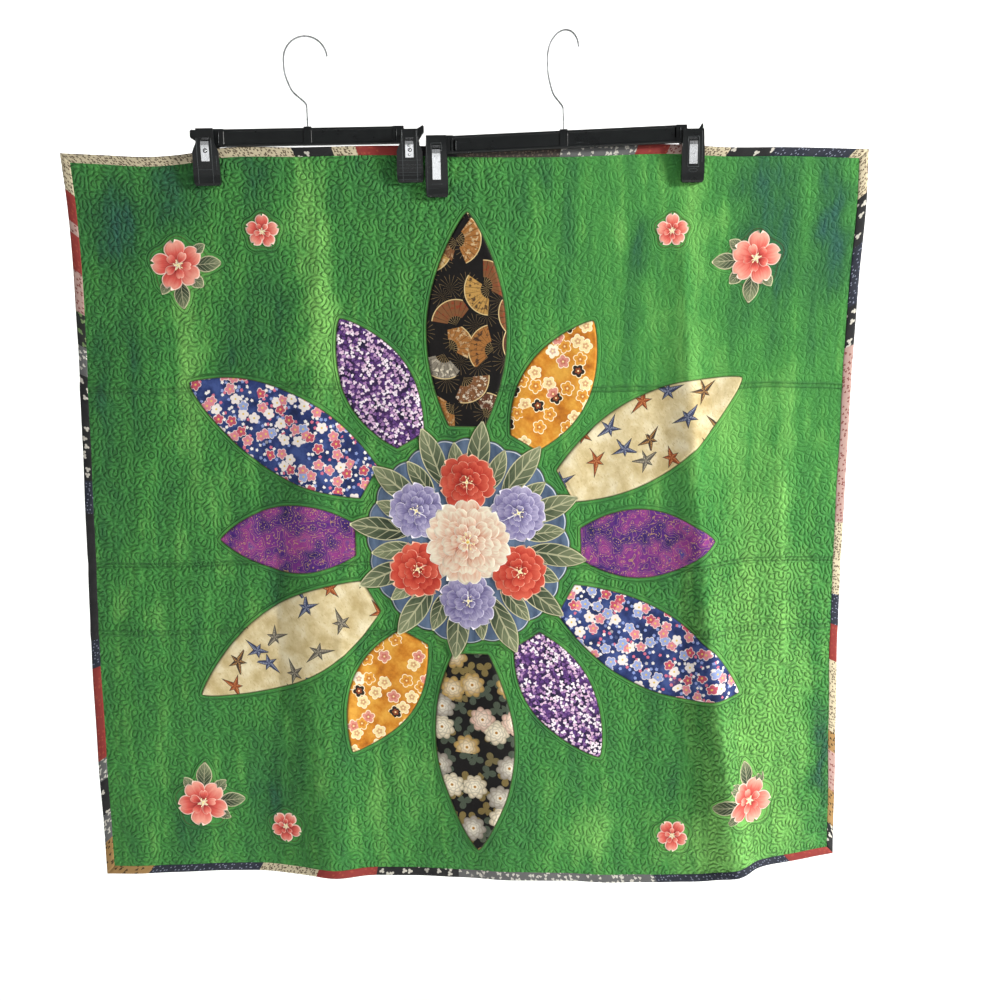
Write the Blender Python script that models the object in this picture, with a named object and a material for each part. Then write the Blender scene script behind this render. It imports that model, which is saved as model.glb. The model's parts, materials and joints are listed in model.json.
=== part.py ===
"""A quilted, appliqued wall hanging on two black clip hangers with steel hooks.

Metres, +Z up. The front of the quilt faces -Y and +X is to the right as it is seen.
The origin lies on the level line that both hooks bear on, midway between them.
"""

import math
import random

import bpy
from mathutils import Vector
from mathutils.geometry import delaunay_2d_cdt
import numpy as np

# The flat quilt
QUILT_WIDTH = 1.016
QUILT_HEIGHT = 0.962
QUILT_THICKNESS = 0.0045
BINDING_WIDTH = 0.0105
BINDING_THICKNESS = 0.0062
BINDING_SECTION = (  # share in from the outer edge, share of the half thickness
    (0.0, 0.55), (0.16, 1.0), (1.0, 1.0), (1.0, -1.0), (0.16, -1.0), (0.0, -0.55),
)
GAP = 0.0003
SEAM_GAP = 0.0005  # between the ground and the binding round it
GRID_PITCH = 0.0235
GRID_JITTER = 0.003
GRID_ENDS = (0.7, 0.5)  # the loose points' first and last distance from the rim, in pitches
BACK_GRID_PITCH = 0.048
PUFF = 0.0013  # how far the quilting stands in or out
LEAST_PUFF = 0.5
PLAIN_TOP = 0.092  # how far down the clips press the quilting flat
GRID_SEED, BACK_GRID_SEED, PUFF_SEED = 7, 3, 11
PATCH_CLEARANCE = 0.008  # from a patch's edge to the nearest loose point
PATCH_THICKNESS = 0.0010

# The hung edges: how far across or down the quilt, and where that point of the edge is
TOP_EDGE = (  # share across, z
    (0.00, -0.1350), (0.05, -0.1380), (0.117, -0.1412), (0.16, -0.1378), (0.185, -0.1340),
    (0.30, -0.1335), (0.43, -0.1335), (0.49, -0.1352), (0.62, -0.1376), (0.77, -0.1376),
    (0.82, -0.1402), (0.90, -0.1415), (1.00, -0.1454),
)
BOTTOM_EDGE = (  # share across, z
    (0.000, -1.0834), (0.125, -1.0826), (0.280, -1.0895), (0.460, -1.0967), (0.600, -1.1027),
    (0.690, -1.1107), (0.750, -1.1115), (0.800, -1.1080), (0.835, -1.0995), (0.870, -1.0925),
    (0.920, -1.0910), (0.960, -1.0916), (1.000, -1.0940),
)
LEFT_EDGE = (  # share down, x
    (0.00, -0.4720), (0.06, -0.4672), (0.25, -0.4638), (0.45, -0.4660), (0.80, -0.4695),
    (1.00, -0.4660),
)
RIGHT_EDGE = (  # share down, x
    (0.00, 0.5440), (0.06, 0.5430), (0.17, 0.5350), (0.25, 0.5305), (0.47, 0.5255),
    (0.67, 0.5250), (0.83, 0.5290), (1.00, 0.5310),
)

# The hung folds run down the cloth. Depth is towards the viewer.
FOLDS = (  # share across at the top, at the bottom, half width, depth at the top, at the bottom
    (0.060, 0.050, 0.050, 0.000, 0.004),
    (0.215, 0.200, 0.055, 0.000, -0.006),
    (0.298, 0.305, 0.036, 0.002, 0.013),
    (0.400, 0.430, 0.060, 0.001, -0.004),
    (0.530, 0.545, 0.055, 0.001, 0.008),
    (0.690, 0.720, 0.060, 0.000, -0.007),
    (0.768, 0.842, 0.026, 0.003, 0.016),
)
FOLDS_START = 0.075  # share of the height that the clips hold flat
FOLDS_GROWN = 0.375
FLAP_START = 0.20  # share down where the right side starts to fall back
FLAP_END = 1.15
FLAP_DEPTH = 0.056
FLAP_STRAIGHT = 0.35  # share of the fall that is straight, where the rest is curved
FLAP_RIDGE = (0.768, 0.842)  # share across at the top and at the bottom
CREASES = (  # share down, half width, depth towards the viewer
    (0.312, 0.009, 0.0016),
    (0.553, 0.009, -0.0015),
    (0.648, 0.009, 0.0016),
)
DRAPE_STEP = 0.004
SHARP_DEGREES = 35.0
SWEEP_SHARP_DEGREES = 60.0
STEEPEST = 0.866  # the slope past which a stretch of cloth counts no narrower

# The applique: a generic twelve-petal medallion with sprigs in the corners
MEDALLION = (0.508, 0.500)
PETAL_CLOTHS = (
    "fans", "gold", "cream", "purple", "navy", "lilac",
    "peony", "gold", "cream", "purple", "navy", "lilac",
)
PETAL_START = 0.150
LONG_PETAL = (0.420, 0.052, 10)  # reach from the centre, half width, points to a side
SHORT_PETAL = (0.330, 0.045, 8)
PETAL_BASE = 0.12
PETAL_FULLNESS = 0.8
DISC_RADIUS = 0.130
DISC_SCALLOPS = 24
DISC_SCALLOP_DEPTH = 0.005
WREATH_SECTORS = 6
WREATH_OUTLINE = (  # degrees from a blossom's middle, radius
    (0.0, 0.116), (6.0, 0.1135), (9.5, 0.108), (12.0, 0.130), (15.0, 0.158), (18.5, 0.130),
    (22.0, 0.105), (30.0, 0.100),
)
SPRIG_OFFSET = (0.372, 0.362)
SPRIG_RADIUS = 0.033
BUD_OFFSET = (0.262, 0.395)
BUD_RADIUS = 0.021
BLOSSOM_PETALS = 5
BLOSSOM_WAVE = 0.10
SPRIG_LEAF_REACH = 1.75
SPRIG_LEAF_TURN = 0.7  # radians from the direction of the centre

# The hangers
WIRE_RADIUS = 0.00125
HOOK_RADIUS = 0.0272
HOOK_TAIL = (  # offset from the shank, share of the way from the hook's middle to the bend
    (-0.0268, 0.22), (-0.0247, 0.41), (-0.0180, 0.70), (-0.0085, 0.87), (-0.0012, 1.00),
)
HOOK_TIP_ANGLE = 5.0
HOOK_STEPS = 20
HOOK_STRAIGHT = 0.009  # the shank's shortest straight length, below the bend
BEAM_DEPTH = 0.0070
BEAM_HEIGHT = 0.0215
SOCKET_RADIUS = 0.0045
SPRING_WIDTH = 0.0102
SPRING_THICKNESS = 0.0008
HANGERS = (
    {
        "side": "left", "shank_x": -0.1600, "y": 0.0, "turn": 0.0, "bend_z": -0.0800,
        "line_top": (-0.1095, -0.1090),
        "clips": (
            {"side": "outer", "x": -0.2862, "top": -0.1105, "bottom": -0.1787, "width": 0.0335,
             "lever": 0.66, "foot": 0.58, "ear": 0.0105, "ear_rise": (0.0006, -0.0006)},
            {"side": "inner", "x": -0.0322, "top": -0.1150, "bottom": -0.1787, "width": 0.0330,
             "lever": 0.66, "foot": 0.54, "ear": 0.0068, "ear_rise": (0.0012, -0.0040)},
        ),
    },
    {
        "side": "right", "shank_x": 0.1600, "y": -0.0078, "turn": 48.0, "bend_z": -0.0900,
        "line_top": (-0.1233, -0.1143),
        "clips": (
            {"side": "inner", "x": 0.0010, "top": -0.1232, "bottom": -0.1972, "width": 0.0280,
             "lever": 0.92, "foot": 0.72, "ear": -0.0020, "ear_rise": (-0.0060, -0.0060)},
            {"side": "outer", "x": 0.3212, "top": -0.1200, "bottom": -0.1838, "width": 0.0285,
             "lever": 0.94, "foot": 0.66, "ear": -0.0003, "ear_rise": (0.0022, -0.0045)},
        ),
    },
)
BEAM_CHAMFER = 0.0011
FLANGE = 0.0026  # the height of the bar's edge at its top and at its bottom
WEB_RECESS = 0.0009
BLOCK_LENGTH = 0.0140
BLOCK_RISE = 0.0006
NECK_MARGIN = 0.0016  # from the spring's side to where the bar has its full height
NECK_DROP = 0.0052  # from a clip's top to the top of the bar between its levers
NECK_HEIGHT = 0.0110
NECK_DEPTH = 0.0042
EAR_HEIGHT = 0.0110
EAR_ROUND = 0.0015
EAR_TIP_DEPTH = 0.0034
SOCKET_RISE = 0.0016
STEP_LENGTH = 0.0008
JAW_ROWS = (  # share down, share of the way from the lever's width to the jaw's, corner, faces
    (0.00, 0.00, 0.0004, 0.0165, 0.0130),
    (0.17, 0.00, 0.0000, 0.0162, 0.0126),
    (0.26, 0.06, 0.0000, 0.0158, 0.0120),
    (0.35, 0.59, 0.0000, 0.0152, 0.0112),
    (0.42, 0.91, 0.0000, 0.0146, 0.0104),
    (0.82, 1.00, 0.0000, 0.0110, 0.0072),
    (0.86, 1.00, 0.0000, 0.0105, 0.0026),
    (0.96, 1.00, 0.0004, 0.0090, 0.0026),
    (1.00, 1.00, 0.0020, 0.0078, 0.0036),
)
OUTER_FACE, INNER_FACE = 3, 4  # their columns in JAW_ROWS, as distances from the cloth
SLOT_ROW = 1
SLOT_ROW_SHARES = (JAW_ROWS[SLOT_ROW][0], JAW_ROWS[SLOT_ROW + 1][0])
SLOT_SIDE = 0.0006
SLOT_MARGIN = 0.025  # share of the clip between the slot's end and the spring in it
SLOT_PRESS = 0.0004
SPRING_LEG = (0.42, 0.35, 0.30)  # shares down the clip, above the foot
SPRING_ARCH = ((0.13, 0.0012), (0.07, 0.0022))  # share down, in from the lever's inner face
SPRING_CROWN = (0.0028, 0.0030)  # in from the arch's shoulder, down from the clip's top


def clear_scene():
    for thing in list(bpy.data.objects):
        bpy.data.objects.remove(thing, do_unlink=True)


def material(name, colour, roughness, metallic=0.0):
    made = bpy.data.materials.new(name)
    made.use_nodes = True
    shader = made.node_tree.nodes["Principled BSDF"]
    shader.inputs["Base Color"].default_value = (*colour, 1.0)
    shader.inputs["Roughness"].default_value = roughness
    shader.inputs["Metallic"].default_value = metallic
    return made


def mesh_object(name, points, faces, surface, sharp_degrees=SHARP_DEGREES):
    mesh = bpy.data.meshes.new(name)
    mesh.from_pydata([tuple(map(float, p)) for p in points], [], faces)
    mesh.validate()
    mesh.shade_smooth()
    mesh.set_sharp_from_angle(angle=math.radians(sharp_degrees))
    mesh.materials.append(surface)
    made = bpy.data.objects.new(name, mesh)
    bpy.context.scene.collection.objects.link(made)
    return made


# The drape


def smooth_table(rows, at):
    """A smooth curve through the rows of a table: a cubic with slopes from its neighbours."""
    knots = np.array([row[0] for row in rows])
    values = np.array([row[1] for row in rows])
    slopes = np.gradient(values, knots)
    at = np.clip(at, knots[0], knots[-1])
    span = np.clip(np.searchsorted(knots, at, side="right") - 1, 0, len(knots) - 2)
    width = knots[span + 1] - knots[span]
    f = (at - knots[span]) / width
    return (
        values[span] * (2 * f**3 - 3 * f**2 + 1)
        + values[span + 1] * (3 * f**2 - 2 * f**3)
        + slopes[span] * width * (f**3 - 2 * f**2 + f)
        + slopes[span + 1] * width * (f**3 - f**2)
    )


def eased(share):
    share = np.clip(share, 0.0, 1.0)
    return share * share * (3 - 2 * share)


def depth(across, down):
    """How far the cloth stands back, in Y, at shares of its width and height."""
    held = eased((down - FOLDS_START) / (FOLDS_GROWN - FOLDS_START))
    grown = np.clip((down - FOLDS_START) / (1 - FOLDS_START), 0.0, 1.0)
    back = np.zeros_like(across)
    for at_top, at_bottom, half, start, end in FOLDS:
        middle = at_top + (at_bottom - at_top) * grown
        fold = start + (end - start) * grown
        back = back - held * fold * np.exp(-(((across - middle) * QUILT_WIDTH / half) ** 2))
    ridge = FLAP_RIDGE[0] + (FLAP_RIDGE[1] - FLAP_RIDGE[0]) * grown
    beyond = np.clip((across - ridge) / (1 - ridge), 0.0, 1.0)
    fall = FLAP_DEPTH * eased((down - FLAP_START) / (FLAP_END - FLAP_START))
    back = back + fall * beyond * (FLAP_STRAIGHT + (1 - FLAP_STRAIGHT) * beyond)
    for at, half, out in CREASES:
        back = back - out * np.exp(-(((down - at) * QUILT_HEIGHT / half) ** 2))
    return back


def running_share(slope, axis):
    """How far along its width a draped cloth has got, where a steep stretch covers less."""
    run = np.sqrt(1 - np.minimum(slope**2, STEEPEST**2))
    ahead, behind = (np.delete(run, at, axis) for at in (0, -1))
    total = np.cumsum(ahead + behind, axis)
    total = np.concatenate([np.zeros_like(np.take(total, [0], axis)), total], axis)
    return total / np.take(total, [-1], axis)


def draped_cloth():
    """Points of the cloth's middle surface on an even grid over the flat quilt."""
    columns = round(QUILT_WIDTH / DRAPE_STEP) + 1
    rows = round(QUILT_HEIGHT / DRAPE_STEP) + 1
    across, down = np.meshgrid(
        np.linspace(0, 1, columns), np.linspace(0, 1, rows), indexing="ij"
    )
    back = depth(across, down)
    slope_x = np.gradient(back, 1 / (columns - 1), axis=0) / QUILT_WIDTH
    slope_z = np.gradient(back, 1 / (rows - 1), axis=1) / QUILT_HEIGHT
    left = smooth_table(LEFT_EDGE, down)
    right = smooth_table(RIGHT_EDGE, down)
    top = smooth_table(TOP_EDGE, across)
    bottom = smooth_table(BOTTOM_EDGE, across)
    x = left + (right - left) * running_share(slope_x, 0)
    z = top + (bottom - top) * running_share(slope_z, 1)
    points = np.stack([x, back, z], axis=-1)
    along = np.gradient(points, axis=0)
    downward = np.gradient(points, axis=1)
    normals = np.cross(downward, along)
    normals /= np.linalg.norm(normals, axis=-1, keepdims=True)
    normals *= np.where(normals[..., 1:2] > 0, -1.0, 1.0)
    return points, normals


CLOTH_POINTS, CLOTH_NORMALS = draped_cloth()


def between(grid, flat):
    """A value of the grid at flat points, in proportion between its four nearest."""
    size = np.array(grid.shape[:2]) - 1
    place = np.clip(flat / (QUILT_WIDTH, QUILT_HEIGHT), 0, 1) * size
    low = np.minimum(place.astype(int), size - 1)
    part = (place - low)[..., None]
    a, b = low[:, 0], low[:, 1]
    near = grid[a, b] * (1 - part[:, 1]) + grid[a, b + 1] * part[:, 1]
    far = grid[a + 1, b] * (1 - part[:, 1]) + grid[a + 1, b + 1] * part[:, 1]
    return near * (1 - part[:, 0]) + far * part[:, 0]


def draped(flat, out):
    """Flat points put on the hung cloth, out from its middle surface towards the viewer."""
    flat = np.asarray(flat, float)
    return between(CLOTH_POINTS, flat) + between(CLOTH_NORMALS, flat) * np.reshape(out, (-1, 1))


# The outlines of the cut pieces, on the flat quilt


def around(middle, angles, radii):
    """Points at angles clockwise from straight up, on the flat quilt, whose v runs down."""
    return np.stack(
        [middle[0] + radii * np.sin(angles), middle[1] - radii * np.cos(angles)], axis=1
    )


def petal_outline(number):
    """A long pointed petal, cut off straight at its base."""
    reach, half, steps = LONG_PETAL if number % 2 == 0 else SHORT_PETAL
    share = np.linspace(0, 1, steps)
    width = half * np.sin(np.pi * (PETAL_BASE + (1 - PETAL_BASE) * share)) ** PETAL_FULLNESS
    out = PETAL_START + (reach - PETAL_START) * share
    side = np.concatenate([-width[:-1], [0.0], width[-2::-1]])
    out = np.concatenate([out, out[-2::-1]])
    turn = number * 2 * math.pi / len(PETAL_CLOTHS)
    return np.stack(
        [
            MEDALLION[0] + out * math.sin(turn) + side * math.cos(turn),
            MEDALLION[1] - out * math.cos(turn) + side * math.sin(turn),
        ],
        axis=1,
    )


def disc_outline():
    angles = np.linspace(0, 2 * math.pi, DISC_SCALLOPS * 4, endpoint=False)
    wave = np.abs(np.cos(DISC_SCALLOPS / 2 * angles))
    return around(MEDALLION, angles, DISC_RADIUS + DISC_SCALLOP_DEPTH * wave)


def wreath_outline():
    half = [(math.radians(degrees), radius) for degrees, radius in WREATH_OUTLINE]
    sector = 2 * math.pi / WREATH_SECTORS
    turned = half + [(sector - angle, radius) for angle, radius in half[-2:0:-1]]
    rows = [
        (angle + number * sector, radius)
        for number in range(WREATH_SECTORS)
        for angle, radius in turned
    ]
    return around(MEDALLION, *np.array(rows).T)


def blossom_outline(middle, radius, leaves_towards=None):
    """A five-petal blossom, with a leaf on each side of one direction where that is given."""
    angles = np.linspace(0, 2 * math.pi, BLOSSOM_PETALS * 4, endpoint=False)
    radii = radius * (1 + BLOSSOM_WAVE * np.cos(BLOSSOM_PETALS * angles))
    if leaves_towards is not None:
        for side in (-SPRIG_LEAF_TURN, SPRIG_LEAF_TURN):
            away = np.abs((angles - leaves_towards - side + math.pi) % (2 * math.pi) - math.pi)
            nearest = np.argmin(away)
            radii[nearest] = radius * SPRIG_LEAF_REACH
    return around(middle, angles, radii)


def corner_places(offset):
    """A place in each corner, as its name, its flat middle and the angle towards the centre."""
    for down_name, down_sign in (("upper", -1), ("lower", 1)):
        for across_name, across_sign in (("left", -1), ("right", 1)):
            middle = (
                MEDALLION[0] + across_sign * offset[0],
                MEDALLION[1] + down_sign * offset[1],
            )
            towards = math.atan2(-across_sign * offset[0], down_sign * offset[1])
            yield f"{down_name}_{across_name}", middle, towards


def first_layer():
    """The pieces sewn straight to the ground, as name, outline and slot."""
    for number, cloth in enumerate(PETAL_CLOTHS):
        yield f"petal_{number + 1:02d}", petal_outline(number), f"print_{cloth}"
    yield "disc", disc_outline(), "slate_blue"
    for name, middle, towards in corner_places(SPRIG_OFFSET):
        yield f"sprig_{name}", blossom_outline(middle, SPRIG_RADIUS, towards), "coral_print"
    for name, middle, _ in corner_places(BUD_OFFSET):
        yield f"blossom_{name}", blossom_outline(middle, BUD_RADIUS), "coral_print"


def inside(points, outline):
    """Which points an outline holds: the outline crosses a line from them an odd number of times."""
    held = np.zeros(len(points), bool)
    for (x1, y1), (x2, y2) in zip(outline, np.roll(outline, -1, axis=0)):
        if y1 == y2:
            continue
        level = (points[:, 1] > min(y1, y2)) & (points[:, 1] <= max(y1, y2))
        crossing = x1 + (points[:, 1] - y1) / (y2 - y1) * (x2 - x1)
        held ^= level & (points[:, 0] < crossing)
    return held


def distance_to(points, outline):
    near = np.full(len(points), np.inf)
    for start, end in zip(outline, np.roll(outline, -1, axis=0)):
        line = end - start
        share = np.clip((points - start) @ line / (line @ line), 0, 1)
        near = np.minimum(near, np.linalg.norm(points - start - share[:, None] * line, axis=1))
    return near


# Flat triangles, and solids from them


def edge_stations(length, inset):
    count = round(length / GRID_PITCH)
    return np.linspace(inset, length - inset, count + 1)


def rectangle_loop(inset):
    """The quilt's rectangle this far in from its edge, with a point at each station."""
    us, vs = edge_stations(QUILT_WIDTH, inset), edge_stations(QUILT_HEIGHT, inset)
    top = [(u, vs[0]) for u in us[:-1]]
    right = [(us[-1], v) for v in vs[:-1]]
    bottom = [(u, vs[-1]) for u in us[:0:-1]]
    left = [(us[0], v) for v in vs[:0:-1]]
    return np.array(top + right + bottom + left)


def closed_edges(start, count):
    return [(start + i, start + (i + 1) % count) for i in range(count)]


def flat_triangles(loops, loose):
    """Triangles over closed loops and loose points, as points and corner numbers."""
    points, edges = [], []
    for loop in loops:
        edges += closed_edges(len(points), len(loop))
        points += [Vector(map(float, p)) for p in loop]
    points += [Vector(map(float, p)) for p in loose]
    made, _, faces, *_ = delaunay_2d_cdt(points, edges, [], 0, 1e-6)
    made = np.array([tuple(p) for p in made])
    faces = np.array([tuple(f) for f in faces])
    middles = made[faces].mean(axis=1)
    return made, faces[inside(middles, np.array(loops[0]))]


def grid_inside(inset, pitch, jitter, seed, clear_of=()):
    """Loose points on an uneven grid, kept clear of outlines."""
    chance = random.Random(seed)
    first, last = (inset + pitch * share for share in GRID_ENDS)
    across = np.arange(first, QUILT_WIDTH - last, pitch)
    down = np.arange(first, QUILT_HEIGHT - last, pitch)
    crease_rows = [share * QUILT_HEIGHT for share, _, _ in CREASES]
    points = []
    for v in down:
        nearest = min(crease_rows, key=lambda row: abs(row - v))
        row = nearest if abs(nearest - v) < pitch / 2 else v
        for u in across:
            slip = jitter if row == v else 0.0
            points.append(
                (u + chance.uniform(-jitter, jitter), row + chance.uniform(-slip, slip))
            )
    points = np.array(points)
    for outline in clear_of:
        points = points[distance_to(points, outline) > PATCH_CLEARANCE]
    return points


def outward(points, faces, towards_viewer):
    """Faces turned so that they all look towards the viewer, or all away."""
    a, b, c = (points[faces[:, i]] for i in range(3))
    turn = (b[:, 0] - a[:, 0]) * (c[:, 1] - a[:, 1]) - (b[:, 1] - a[:, 1]) * (c[:, 0] - a[:, 0])
    wrong = (turn > 0) == towards_viewer
    turned = faces.copy()
    turned[wrong] = turned[wrong][:, ::-1]
    return turned


def rim_edges(faces):
    """Edges that only one face has, in that face's direction."""
    ends = [(a, b) for f in faces for a, b in ((f[0], f[1]), (f[1], f[2]), (f[2], f[0]))]
    known = set(ends)
    return [(a, b) for a, b in ends if (b, a) not in known]


def slab(name, points, faces, back, front, surface):
    """A closed solid over flat triangles, between two distances out from the cloth's middle."""
    used, index = np.unique(faces, return_inverse=True)
    faces = outward(points[used], index.reshape(faces.shape), True)
    flat = points[used]
    count = len(used)
    front_points = draped(flat, np.broadcast_to(front, len(points))[used])
    back_points = draped(flat, np.full(count, back))
    solid = [tuple(f) for f in faces]
    solid += [tuple(int(i) + count for i in f[::-1]) for f in faces]
    solid += [(b, a, a + count, b + count) for a, b in rim_edges(faces)]
    return mesh_object(name, np.vstack([front_points, back_points]), solid, surface)


def build_quilt(surfaces):
    """The ground sandwich with its puffed quilting, and the pieces sewn on it."""
    pieces = list(first_layer())
    wreath = wreath_outline()
    outlines = [outline for _, outline, _ in pieces] + [wreath]
    rim = rectangle_loop(BINDING_WIDTH + SEAM_GAP)
    loose = grid_inside(BINDING_WIDTH, GRID_PITCH, GRID_JITTER, GRID_SEED, outlines)
    points, faces = flat_triangles([rim, *outlines], loose)
    middles = points[faces].mean(axis=1)

    covered = np.zeros(len(points), bool)
    nearest = distance_to(points, rim)
    for outline in outlines:
        covered |= inside(points, outline)
        nearest = np.minimum(nearest, distance_to(points, outline))
    chance = random.Random(PUFF_SEED)
    lift = [chance.choice((-PUFF, PUFF)) * chance.uniform(LEAST_PUFF, 1.0) for _ in points]
    free = ~covered & (nearest > PATCH_CLEARANCE / 2) & (points[:, 1] > PLAIN_TOP)
    front = QUILT_THICKNESS / 2 + np.where(free, lift, 0.0)
    ground_solid("quilt_ground", points, faces, front, rim, surfaces["green_cotton"])

    level = QUILT_THICKNESS / 2 + GAP
    for name, outline, slot in pieces:
        own = faces[inside(middles, outline)]
        slab(name, points, own, level, level + PATCH_THICKNESS, surfaces[slot])
    level += PATCH_THICKNESS + GAP
    own = faces[inside(middles, wreath)]
    slab("wreath", points, own, level, level + PATCH_THICKNESS, surfaces["floral_print"])


def ground_solid(name, points, faces, front, rim, surface):
    """The sandwich's fine front and coarse back, joined round the rim."""
    faces = outward(points, faces, True)
    back_points, back_faces = flat_triangles(
        [rim], grid_inside(BINDING_WIDTH, BACK_GRID_PITCH, 0.0, BACK_GRID_SEED)
    )
    back_faces = outward(back_points, back_faces, False) + len(points)
    count = len(points)
    match = {tuple(np.round(p, 6)): i + count for i, p in enumerate(back_points)}
    solid = [tuple(f) for f in faces] + [tuple(f) for f in back_faces]
    for a, b in rim_edges(faces):
        a_back, b_back = (match[tuple(np.round(points[i], 6))] for i in (a, b))
        solid.append((b, a, a_back, b_back))
    back = np.full(len(back_points), -QUILT_THICKNESS / 2)
    vertices = np.vstack([draped(points, front), draped(back_points, back)])
    return mesh_object(name, vertices, solid, surface)


def build_binding(surfaces):
    """Four folded strips round the edge, with mitred ends."""
    sides = (  # name, the axis that it runs along, whether it is on the far side
        ("top", 0, False), ("bottom", 0, True), ("left", 1, False), ("right", 1, True),
    )
    size = (QUILT_WIDTH, QUILT_HEIGHT)
    for name, along, far in sides:
        rings = []
        outer = edge_stations(size[along], GAP)
        inner = edge_stations(size[along], BINDING_WIDTH + SEAM_GAP)
        for outer_place, inner_place in zip(outer, inner):
            for share, rise in BINDING_SECTION:
                flat = np.zeros(2)
                flat[along] = outer_place + (inner_place - outer_place) * share
                inward = share * BINDING_WIDTH
                flat[1 - along] = size[1 - along] - inward if far else inward
                rings.append((flat, rise * BINDING_THICKNESS / 2))
        points = draped([flat for flat, _ in rings], [out for _, out in rings])
        sweep(f"binding_{name}", points, len(BINDING_SECTION), surfaces["binding_print"])


def sweep(name, points, around_count, surface):
    """A closed solid through rings of points, each with the same number."""
    rings = len(points) // around_count
    faces = []
    for ring in range(rings - 1):
        for i in range(around_count):
            j = (i + 1) % around_count
            start, end = ring * around_count, (ring + 1) * around_count
            faces.append((start + i, start + j, end + j, end + i))
    faces.append(tuple(range(around_count))[::-1])
    faces.append(tuple(range((rings - 1) * around_count, rings * around_count)))
    made = mesh_object(name, points, faces, surface, SWEEP_SHARP_DEGREES)
    turn_outward(made.data)
    return made


def turn_outward(mesh):
    """Turns every face round where the mesh's faces look inward."""
    mesh.calc_loop_triangles()
    volume = 0.0
    for triangle in mesh.loop_triangles:
        a, b, c = (mesh.vertices[i].co for i in triangle.vertices)
        volume += a.dot(b.cross(c))
    if volume < 0:
        mesh.flip_normals()


# The hangers


def plate(name, rows, columns, missing, surface):
    """A closed plate over a grid of cells, with an outer and an inner face, less missing cells."""
    wide = len(columns[0])
    count = len(rows) * wide
    points = [(x, outer, z) for (z, outer, _), xs in zip(rows, columns) for x in xs]
    points += [(x, inner, z) for (z, _, inner), xs in zip(rows, columns) for x in xs]
    faces, front = [], []
    for row in range(len(rows) - 1):
        for column in range(wide - 1):
            if (row, column) in missing:
                continue
            a = row * wide + column
            front.append((a, a + 1, a + wide + 1, a + wide))
    ends = [(f[i], f[(i + 1) % 4]) for f in front for i in range(4)]
    known = set(ends)
    faces += front
    faces += [tuple(i + count for i in f[::-1]) for f in front]
    faces += [(b, a, a + count, b + count) for a, b in ends if (b, a) not in known]
    made = mesh_object(name, points, faces, surface)
    turn_outward(made.data)
    return made


def jaw(name, clip, side, surface):
    """A lever that widens to a jaw, with a slot for the spring and a lip that grips."""
    height = clip["top"] - clip["bottom"]
    slot = SPRING_WIDTH / 2 + SLOT_SIDE
    rows, columns = [], []
    for share, flare, corner, outer, inner in JAW_ROWS:
        half = clip["width"] * (clip["lever"] + (1 - clip["lever"]) * flare) / 2 - corner
        rows.append((clip["top"] - share * height, side * outer, side * inner))
        columns.append([clip["x"] + x for x in (-half, -slot, slot, half)])
    return plate(name, rows, columns, {(SLOT_ROW, 1)}, surface)


def jaw_face(clip, share, column=OUTER_FACE):
    """A jaw face at a share down the clip: its distance from the cloth, and z."""
    shares = [row[0] for row in JAW_ROWS]
    out = np.interp(share, shares, [row[column] for row in JAW_ROWS])
    return out, clip["top"] - share * (clip["top"] - clip["bottom"])


def spring(name, clip, surface):
    """A steel strap: an arch over the bar, whose legs go out through the slots and press in."""
    proud = GAP + SPRING_THICKNESS / 2
    faces = [jaw_face(clip, share) for share in (clip["foot"], *SPRING_LEG)]
    leg = [(outer + proud, z) for outer, z in faces]
    outer, z = jaw_face(clip, SLOT_ROW_SHARES[1] - SLOT_MARGIN)
    leg.append((outer + SLOT_PRESS, z))
    inner, z = jaw_face(clip, SLOT_ROW_SHARES[0] + SLOT_MARGIN, INNER_FACE)
    leg.append((inner - SLOT_PRESS, z))
    for share, further in SPRING_ARCH:
        inner, z = jaw_face(clip, share, INNER_FACE)
        leg.append((inner - further, z))
    leg.append((leg[-1][0] - SPRING_CROWN[0], clip["top"] - SPRING_CROWN[1]))
    path = [(-out, z) for out, z in leg] + leg[::-1]
    points = []
    half = SPRING_WIDTH / 2
    for i, (y, z) in enumerate(path):
        before, after = path[max(i - 1, 0)], path[min(i + 1, len(path) - 1)]
        run = Vector((0.0, after[0] - before[0], after[1] - before[1])).normalized()
        across = Vector((0.0, -run.z, run.y)) * SPRING_THICKNESS / 2
        here = Vector((clip["x"], y, z))
        for x, sign in ((-half, 1), (half, 1), (half, -1), (-half, -1)):
            points.append(here + Vector((x, 0, 0)) + across * sign)
    return sweep(name, points, 4, surface)


def bar_line(hanger, x):
    """The height of the bar's top line, which may slope."""
    left, right = (clip["x"] for clip in hanger["clips"])
    start, end = hanger["line_top"]
    return start + (end - start) * (x - left) / (right - left)


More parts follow.
